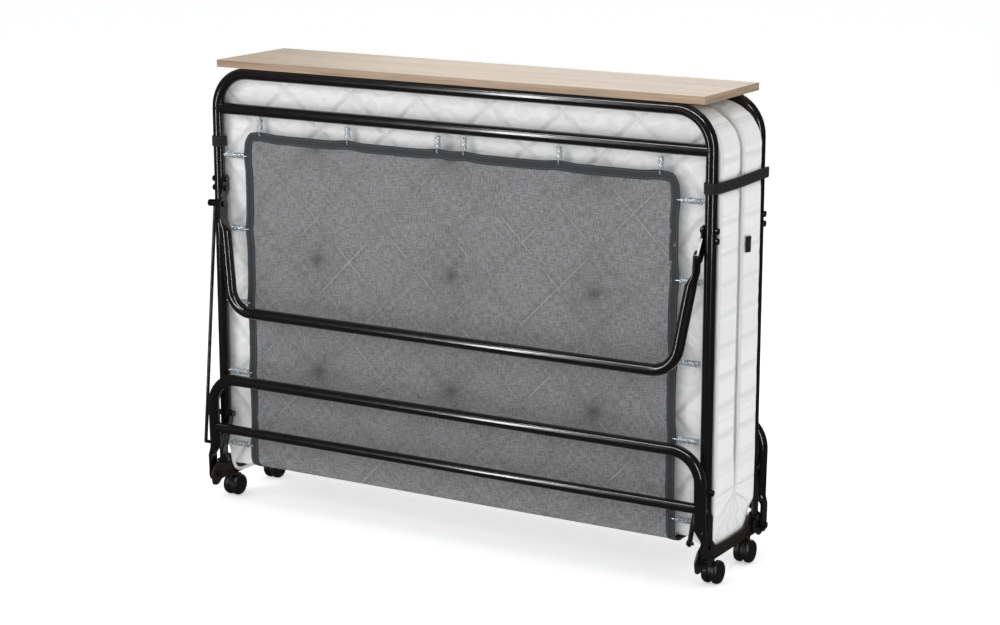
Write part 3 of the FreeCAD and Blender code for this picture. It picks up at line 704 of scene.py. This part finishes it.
def bendHalf(x, s, t, side):
    # flat mattress (across x, along s from the fold, through t from the outer face) to its folded place
    s = np.asarray(s, float)
    flat, radius, low = m["foldFlat"], m["foldRadius"], m["foldLow"]
    turn = np.clip((s - flat) / radius, 0.0, math.pi / 2)
    upTo = flat + radius * math.pi / 2
    outY = np.where(s < flat, s, flat + radius * np.sin(turn))
    outZ = np.where(s < upTo, low + radius - radius * np.cos(turn), low + radius + (s - upTo))
    u = np.clip(s / foldRun, 0.0, 1.0)
    inY = m["innerFace"] * smooth(u, 0.0, 0.25)
    inZ = np.where(s < foldRun, m["creaseTop"] + (m["straightFrom"] - m["creaseTop"]) * u ** 3,
                   m["straightFrom"] + (s - foldRun))
    share = t / m["thickness"]
    y = outY + (inY - outY) * share
    z = outZ + (inZ - outZ) * share
    return np.stack([x, side * y, z], axis=1)


def mattressLattice():
    # every point of the flat box surface, open at the fold, with quads
    xs = spacedEnds(-m["halfWidth"], m["halfWidth"], 0.0085, 0.0045, 0.05)
    ss = np.concatenate([np.linspace(0.0, foldRun, 34)[:-1],
                         spacedEnds(foldRun, flatLength, 0.0085, 0.0045, 0.05)])
    ts = np.linspace(0.0, m["thickness"], 21)
    numbers, points, faces = {}, [], []

    def index(i, j, k):
        key = (i, j, k)
        if key not in numbers:
            numbers[key] = len(points)
            points.append((xs[i], ss[j], ts[k]))
        return numbers[key]

    def face(*corners):
        faces.append(tuple(index(*corner) for corner in corners))

    lastX, lastS, lastT = len(xs) - 1, len(ss) - 1, len(ts) - 1
    for j in range(lastS):
        for i in range(lastX):
            face((i, j, 0), (i + 1, j, 0), (i + 1, j + 1, 0), (i, j + 1, 0))
            face((i, j, lastT), (i, j + 1, lastT), (i + 1, j + 1, lastT), (i + 1, j, lastT))
        for k in range(lastT):
            face((lastX, j, k), (lastX, j, k + 1), (lastX, j + 1, k + 1), (lastX, j + 1, k))
            face((0, j, k), (0, j + 1, k), (0, j + 1, k + 1), (0, j, k + 1))
    for i in range(lastX):
        for k in range(lastT):
            face((i, lastS, k), (i + 1, lastS, k), (i + 1, lastS, k + 1), (i, lastS, k + 1))
    rim = [(0, j) for j in range(lastS + 1)] + [(i, lastS) for i in range(1, lastX)]
    rim += [(lastX, j) for j in range(lastS, -1, -1)]
    rims = [[numbers[(i, j, k)] for i, j in rim] for k in (0, lastT)]
    return np.array(points), faces, rims


def shapeMattress(points):
    # rounded corners and edges, quilting, gathers and border puffs, still flat
    W, L, T, R, r = m["halfWidth"], flatLength, m["thickness"], m["cornerRadius"], m["edgeRadius"]
    x, s, t = points[:, 0].copy(), points[:, 1].copy(), points[:, 2].copy()
    side = np.where(x < 0, -1.0, 1.0)
    ax = np.abs(x)
    a = np.clip((ax - (W - R)) / R, 0.0, 1.0)
    b = np.clip((s - (L - R)) / R, 0.0, 1.0)
    both = (a > 0) & (b > 0)
    ax = np.where(both, W - R + R * a * np.sqrt(1 - b * b / 2), ax)
    s = np.where(both, L - R + R * b * np.sqrt(1 - a * a / 2), s)
    cx, cs = ax - (W - R), s - (L - R)
    inCorner = (cx > 0) & (cs > 0)
    reach = np.hypot(cx, cs)
    toSide, toTop = W - ax, L - s
    sideNearer = toSide < toTop
    d = np.where(inCorner, R - reach, np.minimum(toSide, toTop))
    outX = np.where(inCorner, cx / np.maximum(reach, 1e-9), np.where(sideNearer, 1.0, 0.0))
    outS = np.where(inCorner, cs / np.maximum(reach, 1e-9), np.where(sideNearer, 0.0, 1.0))
    qd = np.maximum(d, r)
    qt = np.clip(t, r, T - r)
    vd, vt = d - qd, t - qt
    size = np.maximum(np.hypot(vd, vt), 1e-9)
    vd, vt = vd / size, vt / size
    newD, newT = qd + r * vd, qt + r * vt
    faceShare, rimShare = np.abs(vt), np.abs(vd)

    # quilting lines, both diagonals
    p1 = (side * ax + s) / math.sqrt(2) / quilting["pitch"]
    p2 = (side * ax - s) / math.sqrt(2) / quilting["pitch"]
    near1 = np.abs(p1 - np.round(p1)) * quilting["pitch"]
    near2 = np.abs(p2 - np.round(p2)) * quilting["pitch"]
    groove = np.maximum(np.exp(-(near1 / m["grooveWidth"]) ** 2), np.exp(-(near2 / m["grooveWidth"]) ** 2))
    flatPoints = np.stack([side * ax, s, np.where(t < T / 2, 0.0, 1.0)], axis=1)
    lumps = soften(flatPoints, 3.1, 14.0) * 0.0012 + soften(flatPoints, 7.7, 42.0) * 0.0004
    onRim = np.stack([side * (ax + d * outX), s + d * outS, np.where(t < T / 2, 0.0, 2.0)], axis=1)
    ridge = 1.0 - np.abs(soften(onRim, 1.7, 34.0)) * 2.4
    fine = soften(onRim, 9.3, 85.0)
    ends = smooth(outS, 0.2, 0.9)
    gatherRange = np.where(ends > 0.5, 0.075, 0.04)
    gathers = (ridge * 0.6 + fine * 0.5) * m["gather"] * np.exp(-np.maximum(d, 0) / gatherRange)
    gathers *= 0.45 + 0.75 * ends
    quiltFade = smooth(d, 0.0, 0.05) * (1.0 - 0.75 * ends * (1.0 - smooth(d, 0.05, 0.15)))
    faceHeight = -groove * m["quiltDepth"] * quiltFade + lumps + gathers - 0.0015
    tuft = np.zeros_like(x)
    for tx, ts in tuftPlaces:
        away = np.hypot(side * ax - tx, s - ts)
        star = 0.75 + 0.25 * np.cos(6 * np.arctan2(s - ts, side * ax - tx))
        tuft += np.exp(-(away / m["tuftRadius"]) ** 2) + 0.45 * np.exp(-(away / m["tuftSpread"]) ** 2) * star
    faceHeight -= tuft * m["tuftDepth"]

    # border panel: puffs between cross seams, and gathers round the end
    across = np.clip(t / T, 0.0, 1.0)
    belly = np.sin(math.pi * across) ** 0.7
    seamAt = s / quilting["borderPitch"]
    seamNear = np.abs(seamAt - np.round(seamAt)) * quilting["borderPitch"]
    slack = soften(np.stack([s, t * 2.0, side], axis=1), 5.2, 24.0)
    seam = np.exp(-(seamNear / m["seamWidth"]) ** 2) * (1.0 - ends)
    panel = belly ** 0.35 * m["borderPuff"] - seam * m["seamDepth"] * belly
    panel += slack * 0.0010 * belly
    ruche = ends * belly * ((1.0 - np.abs(soften(onRim, 4.4, 30.0)) * 2.0) * 0.0032)
    foldPart = 1.0 - smooth(s, foldRun * 0.55, foldRun * 1.15)
    crumple = soften(np.stack([s * 2.4, t, side], axis=1), 8.8, 30.0) * 0.0030 * foldPart * belly
    lowKeep = 1.0 - 0.92 * foldPart
    strapPress = np.exp(-((s - (foldRun + clearance["strapMiddle"] - m["straightFrom"])) / 0.022) ** 2)
    strapPress *= 1 - ends
    rimHeight = (panel + ruche) * lowKeep + crumple * 0.5 - strapPress * 0.0060 * belly
    endCrown = ends * 0.006 * (np.cos(np.clip(side * ax / W, -1, 1) * math.pi * 1.3 + 0.5) * 0.5 - 0.15)
    height = faceHeight * faceShare + rimHeight * rimShare
    newD -= height * rimShare * np.sign(-vd + 1e-12) * (vd != 0)
    newT += height * vt
    newD -= endCrown * (1 - smooth(d, 0.0, 0.09))
    tuckShare = smooth(s, foldRun * 0.75, foldRun + 0.11)
    newT -= m["innerTuck"] * np.exp(-np.maximum(d, 0.0) / 0.035) * (t / T) * tuckShare
    newX = side * (ax + (d - newD) * outX)
    newS = s + (d - newD) * outS
    # painted shade for the quilting grooves and tufts, stored as the seamShade attribute
    shade = groove ** 3 * faceShare * smooth(d, 0.0, 0.03) * 0.6 + np.clip(tuft, 0, 1) ** 2 * 0.5
    onBorder = np.where(rimShare > 0.72, 1.0, 0.0)
    return newX, newS, newT, np.clip(shade, 0, 1), np.stack([side * ax, s, onBorder], axis=1)


tuftPlaces = [(x, s) for x in (-0.34, 0.0, 0.34) for s in (foldRun + 0.14, foldRun + 0.39, foldRun + 0.64)]


clearance = {
    "outer": 0.0965,
    "outerFree": 0.0055,
    "freeHalfWidth": 0.560,
    "freeTop": 0.862,
    "plateHalfWidth": 0.5972,
    "plateTop": (0.112, 0.155),
    "sideBulge": 0.0178,
    "strapHalfWidth": 0.6088,
    "strapMiddle": 0.8185,
    "strapHalfHeight": 0.019,
    "droopFrom": (0.540, 0.572),
    "droopUpTo": (0.080, 0.165),
    "top": 0.9765,
}


def keepClear(places, side):
    # stays off the sling, crossbar, rails, plates, straps and board
    c = clearance
    x, y, z = places[:, 0], places[:, 1] * side, places[:, 2]
    free = smooth(c["freeHalfWidth"] - np.abs(x), 0.0, 0.02) * smooth(c["freeTop"] - z, 0.0, 0.02)
    y = np.minimum(y, c["outer"] + c["outerFree"] * free)
    wide = c["plateHalfWidth"] + c["sideBulge"] * smooth(z, *c["plateTop"])
    wide = np.where(np.abs(z - c["strapMiddle"]) < c["strapHalfHeight"], c["strapHalfWidth"], wide)
    x = np.clip(x, -wide, wide)
    z = z - m["droop"] * smooth(np.abs(x), *c["droopFrom"]) * (1.0 - smooth(z, *c["droopUpTo"]))
    z = np.minimum(z, c["top"])
    return np.stack([x, np.maximum(y, 0.0) * side, z], axis=1)


def tubeAlong(line, radius, sides, closed=False):
    # round cord through the points, carried with little twist
    line = np.asarray(line, float)
    ahead = np.roll(line, -1, axis=0) - np.roll(line, 1, axis=0)
    if not closed:
        ahead[0], ahead[-1] = line[1] - line[0], line[-1] - line[-2]
    ahead /= np.maximum(np.linalg.norm(ahead, axis=1, keepdims=True), 1e-12)
    guide = np.array([0.0, 0.0, 1.0]) if abs(ahead[0][2]) < 0.9 else np.array([1.0, 0.0, 0.0])
    rings, places, run = [], [], 0.0
    for i, (point, along) in enumerate(zip(line, ahead)):
        guide = guide - along * np.dot(guide, along)
        guide /= np.linalg.norm(guide)
        other = np.cross(along, guide)
        if i:
            run += np.linalg.norm(line[i] - line[i - 1])
        for k in range(sides):
            angle = 2 * math.pi * k / sides
            rings.append(point + radius * (math.cos(angle) * guide + math.sin(angle) * other))
            places.append((run, angle * radius, 0.0))
    faces = gridFaces(len(line), sides, closed=True)
    if not closed:
        faces.append(tuple(range(sides))[::-1])
        faces.append(tuple((len(line) - 1) * sides + k for k in range(sides)))
    return rings, faces, places


def joinTube(points, faces, line, radius, sides):
    # adds one cord to a growing mesh and gives back its own coordinates
    ring, ringFaces, ringPlaces = tubeAlong(line, radius, sides)
    base = len(points)
    points += ring
    faces += [tuple(base + i for i in f) for f in ringFaces]
    return ringPlaces


def makeMattress():
    points, faces, rims = mattressLattice()
    x, s, t, shade, flat = shapeMattress(points)
    for end, side in ends:
        places = keepClear(bendHalf(x, s, t, side), side)
        pad = addPiece(end + "MattressPad", places, faces, ticking, flat, shade)
        if side > 0:
            turnOutward(pad)
        cords, cordFaces, cordPlaces = [], [], []
        for rim in rims:
            line = places[rim].copy()
            line[:, 0] += np.sign(line[:, 0]) * 0.0004
            for _ in range(2):
                line[1:-1] = (line[:-2] + line[1:-1] * 2 + line[2:]) / 4
            cordPlaces += joinTube(cords, cordFaces, line, m["pipingRadius"], 8)
        cords = keepClear(np.array(cords), side)
        piping = addPiece(end + "MattressPiping", cords, cordFaces, pipingCloth, cordPlaces)
        for piece in (pad, piping):
            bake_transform(piece)
        if side < 0:
            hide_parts("front_mattress", "mattress_fold")
        else:
            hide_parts("rear_mattress", "mattress_fold")


makeMattress()
print("mattress made")


# ---- sling, its binding and springs ----

sling = {
    "halfWidth": 0.528,
    "top": 0.843,
    "cornerX": 0.020,
    "cornerZ": 0.028,
    "outY": 0.110,
    "foldLow": 0.0816,
    "foldRadius": 0.026,
    "pull": 0.0035,
    "slack": 0.0030,
    "topSprings": (-0.486, -0.257, -0.032, 0.032, 0.257, 0.486),
    "sideSprings": (0.134, 0.302, 0.462, 0.628, 0.790),
}
g = sling
slingFlatRun = g["outY"] - g["foldRadius"]
slingTurn = g["foldRadius"] * math.pi / 2
slingLength = slingFlatRun + slingTurn + g["top"] - g["foldLow"] - g["foldRadius"]


def heightOfRun(s):
    return g["foldLow"] + g["foldRadius"] + (s - slingFlatRun - slingTurn)


def placeOnSling(x, s, off, side):
    # flat sling coordinates to the folded sheet, off the surface towards the outside
    s = np.asarray(s, float)
    turn = np.clip((s - slingFlatRun) / g["foldRadius"], 0.0, math.pi / 2)
    y = np.where(s < slingFlatRun, s, slingFlatRun + g["foldRadius"] * np.sin(turn))
    bent = g["foldLow"] + g["foldRadius"] * (1 - np.cos(turn))
    z = np.where(s < slingFlatRun + slingTurn, bent, heightOfRun(s))
    outY, outZ = np.sin(turn), -np.cos(turn)
    return np.stack([x, side * (y + off * outY), z + off * outZ], axis=1)


def halfWidthAt(s):
    cut = np.clip((s - (slingLength - g["cornerZ"])) / g["cornerZ"], 0.0, 1.0)
    return g["halfWidth"] - g["cornerX"] * cut


def pulledEdge(x, s):
    # the edge runs in between springs and is drawn out at each one
    z = heightOfRun(s)
    sidePull = sum(np.exp(-((z - spring) / 0.026) ** 2) for spring in g["sideSprings"])
    topPull = sum(np.exp(-((x - spring) / 0.026) ** 2) for spring in g["topSprings"])
    nearSide = smooth(np.abs(x), 0.40, g["halfWidth"])
    nearTop = smooth(s, slingLength - 0.10, slingLength)
    lower = smooth(z, 0.10, 0.16)
    dx = np.sign(x) * nearSide * lower * (g["pull"] * sidePull - g["slack"])
    ds = nearTop * (g["pull"] * topPull - g["slack"])
    return x + dx, s + ds


def slingSheet(end, side):
    columns, rows = 97, 81
    us = np.linspace(-1.0, 1.0, columns)
    ss = np.concatenate([np.linspace(0.0, slingFlatRun + slingTurn, 22)[:-1],
                         np.linspace(slingFlatRun + slingTurn, slingLength, rows - 21)])
    x, s = np.meshgrid(us, ss)
    x, s = x.ravel(), s.ravel()
    x = x * (halfWidthAt(s) - 0.003)
    flat = np.stack([x, s, np.zeros_like(x)], axis=1)
    px, ps = pulledEdge(x, s)
    ripple = soften(np.stack([x + s * 0.6, s * 0.35, np.zeros_like(x)], axis=1), 2.2, 7.0) * 0.0018
    sag = 0.0022 * np.cos(x / g["halfWidth"] * math.pi / 2) * np.sin(np.clip(s / slingLength, 0, 1) * math.pi)
    held = smooth(s, slingFlatRun + slingTurn, slingFlatRun + slingTurn + 0.12)
    places = placeOnSling(px, ps, (ripple + sag) * held * smooth(slingLength - s, 0.0, 0.05), side)
    # painted shade mask for the tuft dimples seen through the sling
    tuftShade = np.zeros_like(x)
    for tx, ts in tuftPlaces:
        z = m["straightFrom"] + ts - foldRun
        away = np.hypot(x - tx, heightOfRun(s) - z)
        star = 0.7 + 0.3 * np.cos(5 * np.arctan2(heightOfRun(s) - z, x - tx))
        tuftShade += np.exp(-(away / 0.012) ** 2) + 0.42 * np.exp(-(away / 0.060) ** 2) * star
    sheet = addPiece(end + "SlingSheet", places, gridFaces(len(ss), columns), slingMesh, flat,
                     np.clip(tuftShade, 0, 1))
    if side > 0:
        turnOutward(sheet)
    return sheet


tape = {"width": 0.0205, "thickness": 0.0034, "setIn": 0.0100, "sides": 16, "pucker": 0.0007}


def alongPath(path):
    # unit direction and running length at each point
    ahead = np.gradient(path, axis=0)
    ahead /= np.linalg.norm(ahead, axis=1, keepdims=True)
    return ahead, np.concatenate([[0.0], np.cumsum(np.linalg.norm(np.diff(path, axis=0), axis=1))])


def tapeSection(sides, half, thickness, squareness):
    # points across and off a flat tape with softly rounded edges
    section = []
    for k in range(sides):
        angle = 2 * math.pi * k / sides
        c, v = math.cos(angle), math.sin(angle)
        section.append((math.copysign(abs(c) ** squareness, c) * half,
                        math.copysign(abs(v) ** 0.6, v) * thickness / 2))
    return section


def bindingPath():
    # centre of the tape in flat sling coordinates, from the left fold up, across and down the right
    w, top, inset = g["halfWidth"] + 0.002, slingLength + 0.002, tape["setIn"]
    left = [(-(w - inset), s) for s in np.arange(0.0, top - g["cornerZ"], 0.006)]
    cornerLow = (-(w - inset), top - g["cornerZ"] + 0.004)
    cornerHigh = (-(w - g["cornerX"] + 0.003), top - inset)
    low, high = np.array(cornerLow), np.array(cornerHigh)
    slope = [tuple(low + (high - low) * k / 5) for k in range(6)]
    across = [(x, top - inset) for x in np.arange(cornerHigh[0] + 0.006, 0.0, 0.006)]
    half = left + slope + across
    return np.array(half + [(0.0, top - inset)] + [(-x, s) for x, s in half[::-1]])


def makeBinding(end, side):
    path = bindingPath()
    path[1:-1] = (path[:-2] + path[1:-1] * 2 + path[2:]) / 4
    ahead, run = alongPath(path)
    outward = np.stack([-ahead[:, 1], ahead[:, 0]], axis=1)
    rings, flat = [], []
    for i in range(len(path)):
        for across, off in tapeSection(tape["sides"], tape["width"] / 2, tape["thickness"], 0.55):
            lift = 1.0 - 0.28 * math.exp(-((abs(across) - 0.0068) / 0.0012) ** 2)
            wave = tape["pucker"] * noise.noise(Vector((run[i] * 95.0, across * 120.0, 0.3 * side)))
            rings.append((path[i, 0] + outward[i, 0] * across, path[i, 1] + outward[i, 1] * across,
                          off * lift + wave))
            flat.append((run[i], across, off))
    rings = np.array(rings)
    px, ps = pulledEdge(rings[:, 0], rings[:, 1])
    places = placeOnSling(px, np.maximum(ps, 0.0), rings[:, 2], side)
    faces = gridFaces(len(path), tape["sides"], closed=True)
    band = addPiece(end + "SlingBinding", places, faces, bindingTape, flat)
    if side > 0:
        turnOutward(band)
    return band


coil = {"radius": 0.0057, "wire": 0.0013, "pitch": 0.0040, "hook": 0.0046, "perTurn": 14, "wireSides": 7}


def springLine(start, finish):
    # hook through the cloth, close coil, hook through the tube wall
    start, finish = np.array(start), np.array(finish)
    along = finish - start
    length = np.linalg.norm(along)
    along = along / length
    out = np.array([0.0, -1.0, 0.0])
    other = np.cross(along, out)
    hook, radius = coil["hook"], coil["radius"]
    line = []
    for k in range(9):
        angle = math.pi * (1.35 - 1.35 * k / 8)
        centre = start + along * (hook * 0.2)
        line.append(centre - along * math.sin(angle) * hook * 0.9 + out * (math.cos(angle)) * hook * 0.75)
    bodyStart, bodyEnd = hook * 1.7, length - hook * 1.2
    turns = int((bodyEnd - bodyStart) / coil["pitch"])
    steps = turns * coil["perTurn"]
    for k in range(steps + 1):
        angle = 2 * math.pi * k / coil["perTurn"]
        grow = min(1.0, k / 5.0 + 0.35, (steps - k) / 5.0 + 0.35)
        centre = start + along * (bodyStart + (bodyEnd - bodyStart) * k / steps)
        line.append(centre + radius * grow * (math.cos(angle) * out + math.sin(angle) * other))
    for k in range(7):
        angle = math.pi * k / 6
        line.append(finish + along * (math.sin(angle) * hook * 0.8 - hook * 0.3)
                    + out * math.cos(angle) * hook * 0.7)
    return np.array(line)


def makeSprings(end, side):
    points, faces = [], []
    railIn, barUnder, edgeTop, edgeSide, inset = 0.5850, 0.8790, 0.845, 0.530, 0.0045
    y = side * g["outY"]
    lines = [springLine((x, y, edgeTop - inset), (x, y, barUnder)) for x in g["topSprings"]]
    for z in g["sideSprings"]:
        for wing in (1, -1):
            lines.append(springLine((wing * (edgeSide - inset), y, z), (wing * railIn, y, z)))
    for line in lines:
        joinTube(points, faces, line, coil["wire"], coil["wireSides"])
    return addPiece(end + "CoilSprings", points, faces, zinc)


def makeSlings():
    for end, side in ends:
        cloth = slingSheet(end, side)
        band = makeBinding(end, side)
        springs = makeSprings(end, side)
        for piece in (cloth, band):
            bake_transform(piece)
        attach(springs, end + "_frame")
        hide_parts(end + "_sling", "sling_fold")
        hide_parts(end + "_sling_binding")
        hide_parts(end + "_springs")


makeSlings()
print("slings made")


# ---- storage straps ----

strap = {
    "low": 0.807,
    "high": 0.830,
    "thickness": 0.0023,
    "gap": 0.0006,
    "end": 0.128,
    "rail": 0.5975,
    "tube": 0.0125,
    "outer": 0.6136,
}


def strapPath():
    # centre line of the webbing, seen from above, on the right side
    radius = strap["tube"] + strap["gap"] + strap["thickness"] / 2
    line = [(strap["rail"] - radius, -0.1015), (strap["rail"] - radius, -0.106)]
    for k in range(17):
        angle = math.pi + math.pi * k / 16
        line.append((strap["rail"] + radius * math.cos(angle), -0.110 + radius * math.sin(angle)))
    reach = np.linspace(-0.106, strap["end"] - 0.010, 46)
    for y in reach:
        sway = 0.0006 * math.sin((y + 0.1) * 24.0)
        line.append((strap["rail"] + radius + sway, y))
    line.append((strap["rail"] + radius, strap["end"] - 0.004))
    line.append((strap["rail"] + radius - 0.0002, strap["end"] - 0.0006))
    return np.array(line)


def makeStrap(name, wing):
    path = strapPath()
    path[:, 0] = np.minimum(path[:, 0], strap["outer"])
    ahead, run = alongPath(path)
    out = np.stack([ahead[:, 1], -ahead[:, 0]], axis=1)
    middle, half, sides = (strap["low"] + strap["high"]) / 2, (strap["high"] - strap["low"]) / 2, 18
    points, flat = [], []
    for i in range(len(path)):
        taper = 1.0 if i < len(path) - 1 else 0.86
        droop = 0.0012 * math.sin(math.pi * np.clip((path[i, 1] + 0.11) / 0.22, 0, 1))
        for across, off in tapeSection(sides, half, strap["thickness"], 0.35):
            up = across * taper
            points.append((wing * (path[i, 0] + out[i, 0] * off), path[i, 1] + out[i, 1] * off,
                           middle + up - droop))
            flat.append((run[i], up, off))
    faces = gridFaces(len(path), sides, closed=True)
    faces.append(tuple(range(sides))[::-1])
    faces.append(tuple((len(path) - 1) * sides + k for k in range(sides)))
    band = addPiece(name, points, faces, webbing, flat)
    if wing < 0:
        turnOutward(band)
    return band


def makeStraps():
    for word, wing in (("right", 1.0), ("left", -1.0)):
        band = makeStrap(word + "StorageStrap", wing)
        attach(band, "strap_" + word)
        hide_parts("strap_" + word)


makeStraps()
print("straps made")


# ---- blank label on the mattress border ----

label = {"x": 0.6160, "y": 0.026, "z": 0.686, "width": 0.024, "height": 0.033}


def makeLabel():
    rows, columns = 9, 7
    points, flat = [], []
    for layer in (1.0, -1.0):
        for r in range(rows):
            for c in range(columns):
                v, u = r / (rows - 1) - 0.5, c / (columns - 1) - 0.5
                curl = 0.0012 * (u * u * 2.0 + 0.4 * v)
                points.append((label["x"] + curl + layer * 0.0004, label["y"] + u * label["width"],
                               label["z"] + v * label["height"] - 0.10 * u * label["width"]))
                flat.append((v * label["height"], u * label["width"], 0.0))
    faces = gridFaces(rows, columns)
    count = rows * columns
    faces += [tuple(count + i for i in f[::-1]) for f in gridFaces(rows, columns)]
    edge = [c for c in range(columns)] + [r * columns + columns - 1 for r in range(1, rows)]
    edge += [(rows - 1) * columns + c for c in range(columns - 2, -1, -1)]
    edge += [r * columns for r in range(rows - 2, 0, -1)]
    for a, b in zip(edge, edge[1:] + edge[:1]):
        faces.append((b, a, count + a, count + b))
    tab = addPiece("borderLabel", points, faces, labelCloth, flat)
    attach(tab, "rear_frame")


makeLabel()
print("label made")


# ---- soft edges and smooth shading on the carried-over parts ----

for name, node in nodes.items():
    if node.hide_render:
        continue
    node.data.polygons.foreach_set("use_smooth", [True] * len(node.data.polygons))
    split = node.modifiers.new("creaseAngle", "EDGE_SPLIT")
    split.split_angle = math.radians(32.0)
